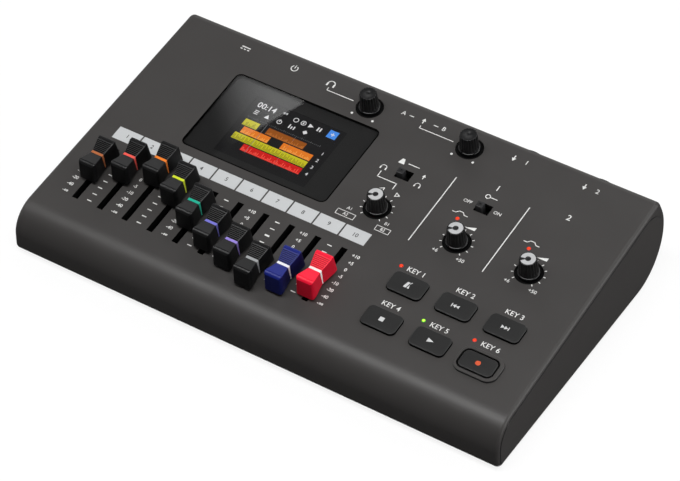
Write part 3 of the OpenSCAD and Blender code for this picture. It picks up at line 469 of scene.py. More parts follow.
RIDGES = (9.4, 11.0, 12.6, 14.2)    # where the lid's ridges lie along y, in mm
RIDGE_R = 0.45
RIDGE_ENDS = ((-12.4, 0.05), (-12, 0.4), (12, 0.4), (12.4, 0.05))    # (x, height)
lid_low = corners("battery_door")[:, 2].min() / MM
bend = np.linspace(math.pi, 2 * math.pi, 9)
ridges = []
for y in RIDGES:
    ends = [np.stack([np.full(len(bend), x), y + RIDGE_R * np.cos(bend),
                      lid_low + 0.1 + tall * np.sin(bend)], 1) for x, tall in RIDGE_ENDS]
    ridges.append((np.concatenate(ends) * MM, tube_faces(len(ends), len(bend))))
add_piece("lid_ridges", join(ridges), base_grey, body="battery_door")
merged_copy("screws", "case_screws", screw_black)
merged_copy("power_nub", "power_slider", nub_black, body="power_slider")
print("sockets:", len(LINE_JACKS) + len(INPUTS))

# %% [markdown]
# A fader cap is a saddle: two crests, a valley for the finger and a narrow waist. It is lofted:
# each station along the cap has a half width and a top height, and a rounded section stands there.
# The back slope carries grip grooves, and both ends lean in towards the top.

# %% Fader caps
CAP_CORNER = 0.3      # rounding of a cap's long edges, in mm
CAP_FRONT = 1.6       # rounding of its front end
CAP_BACK = 0.8        # rounding of its back end
CAP_WAIST = 6.6       # width at the line
CAP_DIP = 1.9         # depth of the valley
CAP_LEAN = 1.1        # how far an end leans in
CAP_DRAFT = 0.22      # how far a flank leans in
CREST = 2.0           # length of each crest
STEP = 0.28           # height of the step at a crest
GROOVES = 7           # grip grooves on the back slope
GROOVE_W = 0.5        # width of a groove
GROOVE_T = 0.32       # and its depth
LINE_W = 1.3          # width of the coloured line
TOP_COLUMNS = (5, 6, 7)    # the faces of a section that lie on top


def cap_stations(half, top, width):
    """Stations from front to back: place, half width, top height, draw-in and groove depth."""
    crest = half - CREST
    land = LINE_W / 2
    turn = np.linspace(0, math.pi / 2, 8)
    pitch = (crest - land - 0.5) / GROOVES
    groove = np.array([-0.5, -0.2, 0.2, 0.5]) * GROOVE_W
    rib_v = (land + 0.5 + pitch * np.arange(GROOVES)[:, None] + groove).ravel()
    front = np.array([-crest - 0.3, -crest - 0.12, -crest, -crest + 0.3])
    middle = np.array([-land - 0.02, -land, land, land + 0.02])
    back = np.array([crest - 0.1, crest, crest + STEP])
    v = np.concatenate([CAP_FRONT - half - CAP_FRONT * np.cos(turn), front, middle, rib_v, back,
                        (half - CAP_BACK + CAP_BACK * np.cos(turn))[::-1]])
    draw = np.zeros(len(v))
    draw[:8] = CAP_FRONT * (1 - np.sin(turn))
    draw[-8:] = CAP_BACK * (1 - np.sin(turn[::-1]))
    reach = np.clip((np.abs(v) - land) / (crest - land), 0, 1)
    slope = top - CAP_DIP + (CAP_DIP - STEP) * reach
    height = np.where((v > crest + 0.5 * STEP) | (v < -crest - 0.2), top - (v < 0) * 0.1, slope)
    height = height - 0.3 * np.isclose(v, -crest - 0.12)
    spread = (CAP_WAIST + (width - CAP_WAIST) * reach ** 0.85) / 2
    ridge = np.zeros(len(v))
    ridge[16:16 + GROOVES * 4] = -GROOVE_T * np.tile([0, 1, 1, 0], GROOVES)
    return v, spread, height, draw, ridge


def cap_section(spread, height, base, ridge, corner):
    """A section from the left foot over the top to the right: flank, corner arc, top, mirrored."""
    a = np.linspace(math.pi, math.pi / 2, 5)
    side = spread[:, None] - CAP_DRAFT
    arc_x = -side + corner + corner * np.cos(a)
    arc_w = height[:, None] - corner + corner * np.sin(a)
    inner_x = -side + corner + 0.1
    left_x = np.concatenate([-spread[:, None], arc_x, inner_x], 1)
    left_w = np.concatenate([np.full_like(side, base), arc_w, (height + ridge)[:, None]], 1)
    return (np.concatenate([left_x, -left_x[:, ::-1]], 1),
            np.concatenate([left_w, left_w[:, ::-1]], 1))


def fader_cap(node):
    """The cap's skin and its coloured line as (points, faces), and which faces lie in grooves."""
    low, high = panel_reach(node)
    middle = (low + high) / 2
    half = (high[1] - low[1]) / 2 - CAP_LEAN
    base, top = low[2], high[2]
    v, spread, height, draw, ridge = cap_stations(half, top, high[0] - low[0])
    x, w = cap_section(spread - 0.6 * draw, height - draw, base, ridge, CAP_CORNER)
    cut = np.zeros((len(v) - 1, x.shape[1]), bool)
    cut[:, TOP_COLUMNS] = ((ridge[1:] + ridge[:-1]) < 0)[:, None]
    flare = 1 + CAP_LEAN / half * (1 - (w - base) / (top - base))
    skin = on_panel(middle[0] + x, middle[1] + v[:, None] * flare, w).reshape(-1, 3)
    valley = np.array([top - CAP_DIP])
    proud = 0.04
    ring = []
    for grow, shift in ((proud, -1), (proud, 1), (-0.3, 1), (-0.3, -1)):
        lx, lw = cap_section(np.array([CAP_WAIST / 2 + grow]), valley + grow, base + 0.2,
                             np.zeros(1), CAP_CORNER)
        taper = 0.4 + 0.6 * np.clip((lw[0] - base) / (valley[0] - CAP_CORNER - base), 0, 1) ** 2
        ring.append(on_panel(middle[0] + lx[0], middle[1] + shift * taper * LINE_W / 2, lw[0]))
    band = np.stack(ring, 1)
    line = (band.reshape(-1, 3), tube_faces(len(band), 4))
    return (skin, tube_faces(*x.shape)), line, cut.ravel()


# Darker copies of each cap's colour, for its flanks and its grooves: painted shade. The red groove
# copy also sends out a little light, a painted glow.
flank_shade = {"cap_black": moulded("flank_shade_black", "0a0a0b", 0.5, ior=1.3),
              "cap_blue": moulded("flank_shade_blue", "0c1450", 0.5, ior=1.3),
              "cap_red": moulded("flank_shade_red", "d00c2c", 0.5, ior=1.3)}
groove_shade = {"cap_black": deep_black, "cap_blue": moulded("groove_shade_blue", "0a1450", 0.6),
               "cap_red": moulded("groove_shade_red", "c80c26", 0.6, emission_color=srgb("c80c26"),
                                  emission_strength=0.14)}
LINES = ("b4683c", "f05a50", "f58220", "d8e62c", "19b496",
         "7a78d8", "9a86dc", "a4a6a8", "f2f2f4", "f6eeee")
for k, code in zip(FADERS, LINES):
    tint = {9: cap_blue, 10: cap_red}.get(k, cap_black)
    slot = {9: "cap_blue", 10: "cap_red"}.get(k, "cap_black")
    skin, band, cut = fader_cap(f"fader_cap_{k}")
    cap = add_piece(f"cap_{k}", skin, tint, f"fader_{k}", angle=28)
    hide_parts(f"fader_cap_{k}")
    facing = face_places(cap.data)[3]
    # Flanks and groove faces take the darker copies: painted shade.
    second_material(cap, flank_shade[slot], np.abs(facing) < 0.35)
    second_material(cap, groove_shade[slot], np.append(cut, [False, False]))
    add_piece(f"cap_line_{k}", band, ink(f"line_{k}", code, 0.4), f"fader_{k}")
print("fader caps:", len(LINES))

# %% [markdown]
# A knob is turned: a profile of radius against height goes once round the axis. The flutes are cut
# by drawing the radius in where a cosine of the angle peaks, and they run out through the top edge,
# which gives it its saw-tooth rim.

# %% Knobs
FLUTES = 18
FLUTE_DEPTH = 0.34
SKIRT_EDGE = 0.6      # rounding of the skirt
TOP_EDGE = 0.35       # rounding of the top
SKIRT_TOP = 1.3       # height of the skirt above the panel, in mm
KNOB_STEPS = FLUTES * 12


def knob_shape(node):
    """Turned profile; flutes take depth * (0.5 + 0.5 cos(flutes * angle)) ** 2.5 off its radius."""
    low, high = panel_reach(node)
    middle = (low + high) / 2
    skirt_r = (high[0] - low[0]) / 2
    foot, head = low[2], high[2]
    skirt_w, grip_r, top_r = SKIRT_TOP, skirt_r - 0.62, skirt_r - 1.1
    bend = np.linspace(0, math.pi / 2, 5)
    profile = np.concatenate([
        [[skirt_r - 0.2, foot, 0], [skirt_r, foot + 0.2, 0]],
        np.stack([skirt_r - SKIRT_EDGE * (1 - np.cos(bend)),
                  skirt_w - SKIRT_EDGE * (1 - np.sin(bend)), 0 * bend], 1),
        [[grip_r + 0.06, skirt_w, 0], [grip_r, skirt_w + 0.15, 0],
         [grip_r - 0.03, skirt_w + 0.6, 0], [grip_r - 0.06, skirt_w + 0.9, 0.6],
         [grip_r - 0.1, skirt_w + 1.3, 1]],
        [[top_r + 0.2, (skirt_w + head) / 2 + 1, 1]],
        np.stack([top_r - TOP_EDGE * (1 - np.cos(bend)),
                  head - TOP_EDGE * (1 - np.sin(bend)), 1 + 0 * bend], 1),
        [[top_r - 0.62, head, 0], [1.3, head, 0], [1.15, head - 0.12, 0]]])
    angle = np.linspace(0, 2 * math.pi, KNOB_STEPS, endpoint=False)
    groove = (0.5 + 0.5 * np.cos(FLUTES * angle)) ** 2.5
    radius = profile[:, :1] - FLUTE_DEPTH * profile[:, 2:] * groove
    points = on_panel(middle[0] + radius * np.cos(angle), middle[1] + radius * np.sin(angle),
                      profile[:, 1:2])
    return (points.reshape(-1, 3), tube_faces(len(profile), KNOB_STEPS)), middle, head, top_r


knob_face = ink("knob_face", "bfc0c1", 0.45)
POINTER = math.radians(90 + 118)    # where the ring on top is open
POINTER_GAP = 0.28    # half the opening, in radians
RING_IN = 1.35        # inner radius of the ring
for name in KNOBS:
    shape, middle, head, top_r = knob_shape(f"knob_{name}")
    grip = add_piece(f"grip_{name}", shape, knob_black, f"knob_{name}", angle=40)
    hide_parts(f"knob_{name}")
    second_material(grip, knob_gloss, face_places(grip.data)[2] < SKIRT_TOP + 0.02)
    if name in ("phones", "output"):
        continue
    sweep = np.linspace(POINTER + POINTER_GAP, POINTER + 2 * math.pi - POINTER_GAP, 72)
    ring_r, lift, sink = top_r - 0.68, head + 0.03, head - 0.05
    rows = [(RING_IN, lift), (ring_r, lift), (ring_r, sink), (RING_IN, sink)]
    face = np.stack([on_panel(middle[0] + r * np.cos(sweep), middle[1] + r * np.sin(sweep), w)
                     for r, w in rows], 1)
    add_piece(f"knob_ring_{name}", (face.reshape(-1, 3), tube_faces(len(sweep), 4)), knob_face,
              f"knob_{name}")
print("knobs:", len(KNOBS))

# %% [markdown]
# The keys are low rounded slabs. One outline, a rectangle with corner arcs, is drawn in step by
# step while it rises, so that the top edge becomes a quarter round. Five keys end in a plate that
# overhangs the opening a little. The sixth, the record key, lies in a raised rim instead.

# %% Keys


def rounded_outline(width, depth, corner, steps=8):
    """Corner arcs of a rounded rectangle about the origin, as an n by 2 array, anticlockwise."""
    a = np.linspace(0, math.pi / 2, steps + 1)
    turn = np.concatenate([a + q * math.pi / 2 for q in range(4)])
    sx = np.repeat([1, -1, -1, 1], steps + 1)
    sy = np.repeat([1, 1, -1, -1], steps + 1)
    return np.stack([sx * (width / 2 - corner) + corner * np.cos(turn),
                     sy * (depth / 2 - corner) + corner * np.sin(turn)], 1)


def slab(width, depth, corner, rows, centre=(0, 0)):
    """Rounded rectangle lofted over rows of (draw-in, height): a closed solid in panel places."""
    rings = []
    for draw, w in rows:
        ring = rounded_outline(width - 2 * draw, depth - 2 * draw, max(corner - draw, 0.02))
        rings.append(on_panel(centre[0] + ring[:, 0], centre[1] + ring[:, 1], w))
    return np.concatenate(rings), tube_faces(len(rings), len(rings[0]))


KEY_EDGE = 0.34       # rounding of a key's top edge
KEY_CORNER = 2.5      # rounding of its outline
KEY_SKIRT = 2.4       # how far a key reaches down into its opening
FLANGE = 0.9          # the solid's stop under the panel, on each side
PLATE_LOW = 0.7       # underside of a plate, above the travel of 0.6 mm
PLATE_GROW = np.array([1.0, 1.5, 0])     # a plate is this much larger than the stem
PLATE_SHIFT = np.array([0.4, 0.5, 0])    # and lies this far from the stem's middle
KEY_GAP = 0.47        # from a key's skirt to the wall of its opening
RIM = [(KEY_GAP, -0.5), (KEY_GAP, 1.115), (0.9, 1.115), (0.9, 1.15), (2.25, 1.15), (2.4, 1.0),
       (2.45, -0.1)]    # (growth of the outline, height)
RIM_SHIFT = 0.35      # the rim is broader on the right
key_top, shadow_rings = {}, []


def key_ring(size, centre, rows):
    """A closed band round a key: rows of (growth of the outline, height, shift to the right)."""
    band = []
    for grow, w, shift in rows:
        edge = rounded_outline(size[0] + 2 * grow, size[1] + 2 * grow, KEY_CORNER + grow)
        band.append(on_panel(centre[0] + shift + edge[:, 0], centre[1] + edge[:, 1], w))
    return np.concatenate(band), grid_faces(len(rows), len(edge), True, True)


for name in KEYS:
    low, high = panel_reach(f"button_{name}")
    middle = (low + high) / 2
    bend = np.linspace(0, math.pi / 2, 6)
    edge = [(KEY_EDGE * (1 - math.cos(b)), high[2] - KEY_EDGE * (1 - math.sin(b))) for b in bend]
    size = high - low - 2 * FLANGE
    if name == "rec":
        rim = key_ring(size, middle, [(grow, w, RIM_SHIFT * (grow > 1)) for grow, w in RIM])
        shape = slab(*size[:2], KEY_CORNER, [(0, -KEY_SKIRT)] + edge, middle)
    else:
        stem = slab(*size[:2], KEY_CORNER, [(0, -KEY_SKIRT), (0, PLATE_LOW + 0.1)], middle)
        # A flat black ring on the panel, from the opening's edge to just past the plate, is a
        # painted shadow under the plate.
        inner = key_ring(size, middle, [(KEY_GAP, -0.02, 0), (KEY_GAP, 0.02, 0)])[0]
        middle = middle + PLATE_SHIFT
        outer = key_ring(size + PLATE_GROW, middle, [(0.2, 0.02, 0), (0.2, -0.02, 0)])[0]
        shadow_rings.append((np.concatenate([inner, outer]), grid_faces(4, len(inner) // 2, True, True)))
        rows = [(0.1, PLATE_LOW)] + edge
        shape = join([stem, slab(*(size + PLATE_GROW)[:2], KEY_CORNER, rows, middle)])
    key = add_piece(f"key_{name}", shape, key_grey, f"button_{name}", angle=40)
    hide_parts(f"button_{name}")
    w, facing = face_places(key.data)[2:]
    # A key's side walls below its top rounding are painted black: painted shade.
    second_material(key, deep_black, (facing < 0.3) & (w < high[2] - 0.3))
    key_top[name] = (middle[0], middle[1], high[2])

# The black rings round the keys are painted shadows on the panel.
add_piece("key_shadows", join(shadow_rings), deep_black)
record_rim = add_piece("record_rim", rim, case_grey)
# The rim's inner wall and inner ledge are painted black, and its outer wall darker: painted shade.
band = np.repeat(np.arange(len(RIM)), len(rim[1]) // len(RIM))
second_material(record_rim, deep_black, band < 3)
second_material(record_rim, nub_black, band == 5)
print("keys:", len(KEYS))

# %% [markdown]
# A lamp is a light guide that comes through the panel and ends in a small dome. A sphere would
# stand too high, so a quarter ellipse is turned about the lamp's axis, and its crown takes the
# brighter colour. The slide switches are small blocks with a sunk top for the fingertip, made with
# the same lofted slab as the keys.

# %% Lamps and slide switches
LAMP_RISE = 0.3       # height of a dome, in mm
LAMP_FOOT = -2.0      # where a light guide starts, below the panel


def lamp_lens(x, v, radius):
    """A quarter ellipse turned about the lamp's axis, from below the panel to the dome's crown."""
    angle = np.linspace(0, 2 * math.pi, 32, endpoint=False)
    bend = np.linspace(0, math.pi / 2 - 0.15, 6)
    r = np.concatenate([[radius], radius * np.cos(bend)])[:, None]
    w = np.concatenate([[LAMP_FOOT], LAMP_RISE * np.sin(bend)])[:, None]
    points = on_panel(x + r * np.cos(angle), v + r * np.sin(angle), w)
    return points.reshape(-1, 3), tube_faces(len(r), len(angle))


RED_LAMPS = ((52.7, -13.8), (89.6, -13.8), (44.8, -49.1), (94.6, -69.3))
GREEN_LAMP = (69.6, -70.7)
LAMP_R = 0.99
domes = [lamp_lens(x, v, LAMP_R) for x, v in RED_LAMPS]
red = add_piece("lenses_red", join(domes), lamp_red)
green = add_piece("lens_green", lamp_lens(*GREEN_LAMP, LAMP_R), lamp_green)
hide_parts("red_leds")
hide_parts("green_led")
for lens, core in ((red, lamp_red_core), (green, lamp_green_core)):
    second_material(lens, core, face_places(lens.data)[3] > 0.97)

for name in ("click", "hiz"):
    low, high = panel_reach(f"switch_nub_{name}")
    middle = (low + high) / 2
    rows = [(0, -7.5), (0, high[2] - 0.25), (0.08, high[2] - 0.08), (0.25, high[2]), (1.1, high[2]),
            (1.25, high[2] - 0.3)]
    shape = slab(high[0] - low[0], high[1] - low[1], 0.3, rows, middle)
    nub = add_piece(f"slide_nub_{name}", shape, nub_black, f"switch_nub_{name}")
    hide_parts(f"switch_nub_{name}")
print("lamps:", len(RED_LAMPS) + 1)

# %% [markdown]
# Print on the panel is a thin film of ink. An image texture could carry it, but very flat solids
# stay sharp at any distance. There are bars, ribbons along a path, filled outlines and numerals.
# Only plain numbers, ON and OFF, short codes and general signs are printed.

# %% Ink helpers
INK_LOW = -0.02       # a mark starts just below the panel
INK_TOP = 0.03        # and ends just above it, in mm


def plate(outline, low=INK_LOW, top=INK_TOP):
    """A filled outline as a flat solid: the outline at two heights, walls between."""
    flat = np.asarray(outline, float)
    points = [on_panel(flat[:, 0], flat[:, 1], w) for w in (low, top)]
    return np.concatenate(points), tube_faces(2, len(flat))


def ribbon(path, width, low=INK_LOW, top=INK_TOP):
    """A band along a path: each point moves half the width to both sides, across the path."""
    path = np.asarray(path, float)
    along = np.gradient(path, axis=0)
    across = np.stack([-along[:, 1], along[:, 0]], 1)
    across *= width / 2 / np.linalg.norm(across, axis=1, keepdims=True)
    left = path + across
    right = path - across
    rows = [on_panel(side[:, 0], side[:, 1], w) for side, w in
            ((left, low), (left, top), (right, top), (right, low))]
    return np.stack(rows, 1).reshape(-1, 3), tube_faces(len(path), 4)


def box(x, v, width, depth):
    """The four corners of an upright rectangle about (x, v)."""
    a, b = width / 2, depth / 2
    return [(x - a, v - b), (x + a, v - b), (x + a, v + b), (x - a, v + b)]


def bar(x, v, width, depth, low=INK_LOW, top=INK_TOP):
    """A filled upright rectangle about (x, v)."""
    return plate(box(x, v, width, depth), low, top)


def polyline(points, width, **heights):
    """Straight bands from point to point, each longer than its leg, so that corners close."""
    parts = []
    for a, b in zip(points[:-1], points[1:]):
        a, b = np.array(a, float), np.array(b, float)
        lap = (b - a) / np.linalg.norm(b - a) * width / 2
        parts.append(ribbon([a - lap, (a + b) / 2, b + lap], width, **heights))
    return join(parts)


def arc(x, v, radius, start, end, steps=24):
    """Points on a circle about (x, v) between two angles in degrees."""
    a = np.radians(np.linspace(start, end, steps + 1))
    return np.stack([x + radius * np.cos(a), v + radius * np.sin(a)], 1)


def disc(x, v, radius, **heights):
    """A filled circle."""
    return plate(arc(x, v, radius, 0, 350, 35), **heights)


def letters(text, size, x, v, align="CENTER", bold=0.008, low=INK_LOW, top=INK_TOP):
    """Numerals or short signs from the built-in typeface, laid flat on the panel about (x, v)."""
    curve = bpy.data.curves.new("letters", "FONT")
    curve.body = text
    curve.size = size
    curve.align_x = align
    curve.align_y = "CENTER"
    curve.extrude = (top - low) / 2
    curve.offset = bold * size
    curve.resolution_u = 4
    holder = new_object("letters", curve)
    shown = holder.evaluated_get(bpy.context.evaluated_depsgraph_get())
    flat = bpy.data.meshes.new_from_object(shown)
    local = pulled(flat.vertices, "co")
    faces = [list(face.vertices) for face in flat.polygons]
    bpy.data.objects.remove(holder)
    bpy.data.curves.remove(curve)
    bpy.data.meshes.remove(flat)
    return on_panel(x + local[:, 0], v + local[:, 1], (low + top) / 2 + local[:, 2]), faces


# %% [markdown]
# The fader field has a scale beside every second fader, dashes beside the others, and a row of
# pale writing fields above with the channel numbers. All places follow from the levers of the
# faders, so the print stays beside them when the frame changes.

# %% Fader scale and channel strip
FADER_X = np.array([panel_middle(f"fader_lever_{k}")[0] for k in FADERS])
PITCH = FADER_X[1] - FADER_X[0]
SCALE_TOP = -54.4     # the highest mark, along v
SCALE_STEP = 30 / 7   # eight marks over the travel of 30 mm
SCALE = ("+10", "+5", "0", "-5", "-10", "-20", "-40", "-")
DIGIT = 2.5
marks = []
for column in range(11):
    x = FADER_X[0] + PITCH * (column - 0.5)
    numbered = column % 2 == 0
    for row, text in enumerate(SCALE):
        v = SCALE_TOP - SCALE_STEP * row
        if not numbered:
            marks.append(bar(x, v, 2.4, 0.9 if text == "0" else 0.5))
            continue
        shift = -0.9 if text == "-" else 0
        marks.append(letters(text, DIGIT, x + shift, v, bold=0.018))
        if text == "-":
            loop = np.linspace(0, 2 * math.pi, 33)
            eight = np.stack([x + 0.75 + 0.85 * np.sin(loop), v + 0.42 * np.sin(2 * loop)], 1)
            marks.append(ribbon(eight, 0.32))
add_piece("print_fader_scale", join(marks), ink_white)

STRIP_V = (-47.5, -40.1)
STRIP_GAP = 0.8
cells, names = [], []
for k, x in zip(FADERS, FADER_X):
    v = (STRIP_V[0] + STRIP_V[1]) / 2
    cells.append(bar(x, v, PITCH - STRIP_GAP, STRIP_V[1] - STRIP_V[0]))
    names.append(letters(str(k), 3.1, x, v, low=INK_TOP - 0.01, top=INK_TOP + 0.02))
add_piece("print_channel_strip", join(cells), ink_strip)
add_piece("print_channel_numbers", join(names), ink_dark)
print("scale marks:", len(marks))

# %% [markdown]
# Knob dials and the rest of the panel print. The dials have ticks or two dots, and general signs
# tell what is what, such as a headphone for the phones socket and a wedge for a level. Each sign is
# a function of its place and size, so it can be put down wherever it is needed.

# %% Dials and signs
TICK_R = 7.42         # middle of a tick, from the knob's axis
TICK_L = 1.1          # and its length
TICK_FROM, TICK_STEP = -50, 28    # degrees
DOT_AT, DOT_R = 8.79, 0.62
dials = []
for name in ("balance", "gain_1", "gain_2"):
    cx, cv = panel_middle(f"knob_{name}")[:2]
    for i in range(11):
        a = math.radians(TICK_FROM + TICK_STEP * i)
        ray = np.array([math.cos(a), math.sin(a)])
        dials.append(ribbon([ray * (TICK_R - TICK_L / 2) + (cx, cv), ray * TICK_R + (cx, cv),
                             ray * (TICK_R + TICK_L / 2) + (cx, cv)], 0.42))
    if name != "balance":
        dials.append(letters("+6", 2.7, cx - 6.4, cv - 8.4))
        dials.append(letters("+50", 2.7, cx + 6.6, cv - 8.5))
for name in ("phones", "output"):
    cx, cv = panel_middle(f"knob_{name}")[:2]
    for a in (TICK_FROM, TICK_FROM + 10 * TICK_STEP):
        dials.append(disc(*arc(cx, cv, DOT_AT, a, a, 1)[0], DOT_R))
add_piece("print_dials", join(dials), ink_white)

LINE = 0.42           # width of a printed line
signs = [ribbon([(x, -35), (x, -14), (x, 7)], 0.5) for x in (39.8, 78.1)]
signs += [polyline([(-42, 26.3), (-41.9, 24.8), (-27.3, 24.8)], LINE),
          polyline([(9, 26.1), (9.1, 24.8), (27.1, 24.8)], LINE),
          polyline([(7.4, -6), (7.4, -9.3), (17.7, -9.3), (17.7, -12.8)], LINE)]


def headphone(x, v, size):
    """A head band over two ear pads."""
    band = ribbon(arc(x, v - 0.1 * size, 0.42 * size, 0, 180), 0.1 * size)
    pads = [bar(x + s * 0.4 * size, v - 0.25 * size, 0.2 * size, 0.42 * size) for s in (-1, 1)]
    return join([band] + pads)


def power_sign(x, v, size):
    """A broken ring with an upright bar in its gap."""
    return join([ribbon(arc(x, v, 0.4 * size, 125, 415), 0.1 * size),
                 bar(x, v + 0.25 * size, 0.1 * size, 0.5 * size)])


def direct_current(x, v, size):
    """A long bar over three short ones."""
    dashes = [bar(x + s * 0.42 * size, v - 0.16 * size, 0.26 * size, 0.13 * size)
              for s in (-1, 0, 1)]
    return join([bar(x, v + 0.16 * size, 1.1 * size, 0.13 * size)] + dashes)


def arrow(x, v, size, way):
    """A shaft with a filled head, pointing along +v or -v."""
    tip = way * 0.5 * size
    head = plate([(x, v + tip), (x - 0.32 * size, v), (x + 0.32 * size, v)][::way])
    return join([head, bar(x, v - way * 0.2 * size, 0.16 * size, 0.5 * size)])


def level_wedge(x, v, width, depth):
    """A triangle that grows to the right, as on a level control."""
    return plate([(x - width / 2, v - depth / 2), (x + width / 2, v - depth / 2),
                  (x + width / 2, v + depth / 2)])


REAR_V = 29.3         # the row of signs along the rear edge
BOX_V = -35.5         # the row of boxed codes
CODE = 3.3            # size of the codes at the rear, in mm
signs += [direct_current(-91, REAR_V, 4.4), power_sign(-63, REAR_V, 4.2),
          headphone(-42, REAR_V, 4.4), letters("A", CODE, -2, REAR_V),
          bar(2.2, REAR_V, 2.4, LINE), arrow(8.8, REAR_V, 3.4, 1),
          bar(15.4, REAR_V, 2.4, LINE), letters("B", CODE, 19.6, REAR_V)]
for x, text in ((60.3, "1"), (97, "2")):
    signs += [arrow(x - 3.2, REAR_V, 3.6, -1), letters(text, 3.6, x + 3.4, REAR_V),
              letters(text, 4.4, x - 0.4, 9.9)]
signs += [letters("OFF", 2.5, 51.6, -2.9), letters("ON", 2.5, 67.1, -3.0)]
KEY_LEGENDS = ((52.7, -49.2), (78.0, -49.0), (102.9, -49.0),
               (52.8, -70.6), (77.8, -71.0), (102.7, -69.5))
signs += [letters(f"KEY {i + 1}", 3.7, x, v) for i, (x, v) in enumerate(KEY_LEGENDS)]
for x, width, depth, above, inside in ((6.7, 9.4, 3.0, "A1", "A2"), (26.5, 7.2, 2.8, "B1", "B2")):
    edges = box(x, BOX_V, width, depth)
    signs += [polyline(edges + edges[:1], 0.28), letters(above, 2.4, x, BOX_V + 3.7),
              letters(inside, 2.3, x, BOX_V)]
for x in (59.5, 96.5):
    hump = [(x - 11, -10.9), (x - 9.4, -10.9), (x - 8.2, -9.6), (x - 6.2, -9.6), (x - 5, -10.9),
            (x - 3.4, -10.9)]
    signs += [level_wedge(x + 1.2, -15.6, 5.2, 2.0), polyline(hump, LINE)]
signs += [polyline([(12.2, -15), (14.2, -13.9), (14.2, -16.1), (12.2, -15)], LINE),
          polyline([(22.8, -15), (20.8, -13.9), (20.8, -16.1), (22.8, -15)], LINE),
          headphone(7.2, -3.1, 3.4), arrow(26.6, 0.0, 3.0, 1), headphone(26.6, -5.4, 3.2),
          plate([(11.4, 2.2), (14.6, 2.2), (13.7, 5.2), (12.3, 5.2)]),
          ribbon([(16.2, 3.6), (19.2, 3.6), (22.2, 3.6)], LINE),
          ribbon(arc(58.3, 3.8, 1.1, 0, 360), LINE), bar(61.4, 3.8, 3.6, LINE)]
add_piece("print_signs", join(signs), ink_white)
print("signs:", len(signs))

# %% [markdown]
# The keys carry printed signs: a metronome, skip marks, a square, a triangle and the record dot.
# Each is drawn about the middle of its key's top and rides on the key's body, so it goes down with
# the key.

# %% Key signs


def key_sign(name):
    """The sign of one key, drawn about its middle at the height of its top."""
    x, v, w = key_top[name]
    flat = {"low": w - 0.03, "top": w + 0.03}
    if name == "stop":
        return bar(x, v, 2.3, 2.3, **flat)
    if name == "rec":
        return disc(x, v, 1.25, **flat)
    if name == "play":
        return plate([(x - 1.4, v - 1.15), (x + 1.75, v), (x - 1.4, v + 1.15)], **flat)
    if name == "click":
        body = [(x - 1.5, v - 1.6), (x - 0.1, v - 1.6), (x + 0.7, v + 1.7), (x - 0.7, v + 1.7)]
        foot = [(x + 0.4, v - 1.6), (x + 1.5, v - 1.6), (x + 0.95, v + 0.6)]
        needle = [(x + 0.95, v + 1.1), (x + 1.3, v + 1.9)]
        return join([plate(body, **flat), plate(foot, **flat), polyline(needle, 0.35, **flat)])
    way = 1 if name == "ff" else -1
    parts = [plate([(x + way * (c - 0.85), v - 0.95), (x + way * (c + 0.85), v),
                    (x + way * (c - 0.85), v + 0.95)][::way], **flat) for c in (-0.9, 0.8)]
    parts.append(bar(x + way * 1.9, v, 0.4, 1.9, **flat))
    return join(parts)


for name in KEYS:
    add_piece(f"key_sign_{name}", key_sign(name), icon_record if name == "rec" else icon_grey,
              f"button_{name}")
print("key signs:", len(KEYS))

# %% [markdown]
# The display sits under a flush cover glass. So thin a sheet hardly bends the light, so it lets
# everything through and adds its mirror image. A dark print on its underside hides all but the
# picture, and the picture is a set of lit areas on the display below.

# %% Display
glass, glass_tree, glass_shader = plain_material("cover_glass")
glass_shader.inputs["Base Color"].default_value = (0, 0, 0, 1)
glass_shader.inputs["Roughness"].default_value = 0.0
glass_shader.inputs["IOR"].default_value = 1.5
clear = add_node(glass_tree, "ShaderNodeBsdfTransparent", [("Color", (0.9, 0.9, 0.9, 1))])
both = add_node(glass_tree, "ShaderNodeAddShader",
                [(0, glass_shader.outputs[0]), (1, clear.outputs[0])])
glass_tree.links.new(both.outputs[0], glass_tree.nodes["Material Output"].inputs["Surface"])
glass_low, glass_high = panel_reach("screen_window")
glass_mid = (glass_low + glass_high) / 2
glass_size = glass_high - glass_low
PRINT_W = glass_low[2] + 0.02    # height of the dark print
LCD_FRAME = 4.0       # edge of the display round its picture, in mm
rows = [(0.1, PRINT_W + 0.03), (0, PRINT_W + 0.1), (0, glass_high[2] - 0.12), (0.4, glass_high[2])]
window = add_piece("cover_window", slab(glass_size[0], glass_size[1], 3.0, rows, glass_mid), glass,
                   angle=10)
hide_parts("screen_window")
# The glass's edge and chamfer are painted black: painted shade of the gap round the glass.
second_material(window, deep_black, np.abs(face_places(window.data)[3]) < 0.99)

lcd_low, lcd_high = panel_reach("display_module")
LCD_W = lcd_high[2]
LCD_X0, LCD_X1 = lcd_low[0] + LCD_FRAME, lcd_high[0] - LCD_FRAME
LCD_V0, LCD_V1 = lcd_low[1] + LCD_FRAME, lcd_high[1] - LCD_FRAME
lcd_mid = ((LCD_X0 + LCD_X1) / 2, (LCD_V0 + LCD_V1) / 2)
border_in = rounded_outline(LCD_X1 - LCD_X0, LCD_V1 - LCD_V0, 0.3) + lcd_mid
border_out = rounded_outline(glass_size[0] - 0.3, glass_size[1] - 0.3, 2.9) + glass_mid[:2]
ring = np.stack([on_panel(edge[:, 0], edge[:, 1], w) for edge, w in
                 ((border_in, PRINT_W + 0.01), (border_out, PRINT_W + 0.01),
                  (border_out, PRINT_W), (border_in, PRINT_W))], 1)
EVEN = {"tone": 0.0, "spread": 0.0, "depth_mm": 0.0, "ior": 1.02}    # no grain and no gloss
window_black = moulded("window_black", "2d2d2d", 0.6, **EVEN)
border = (ring.reshape(-1, 3), grid_faces(len(ring), 4, True, True))
add_piece("window_border", border, window_black)


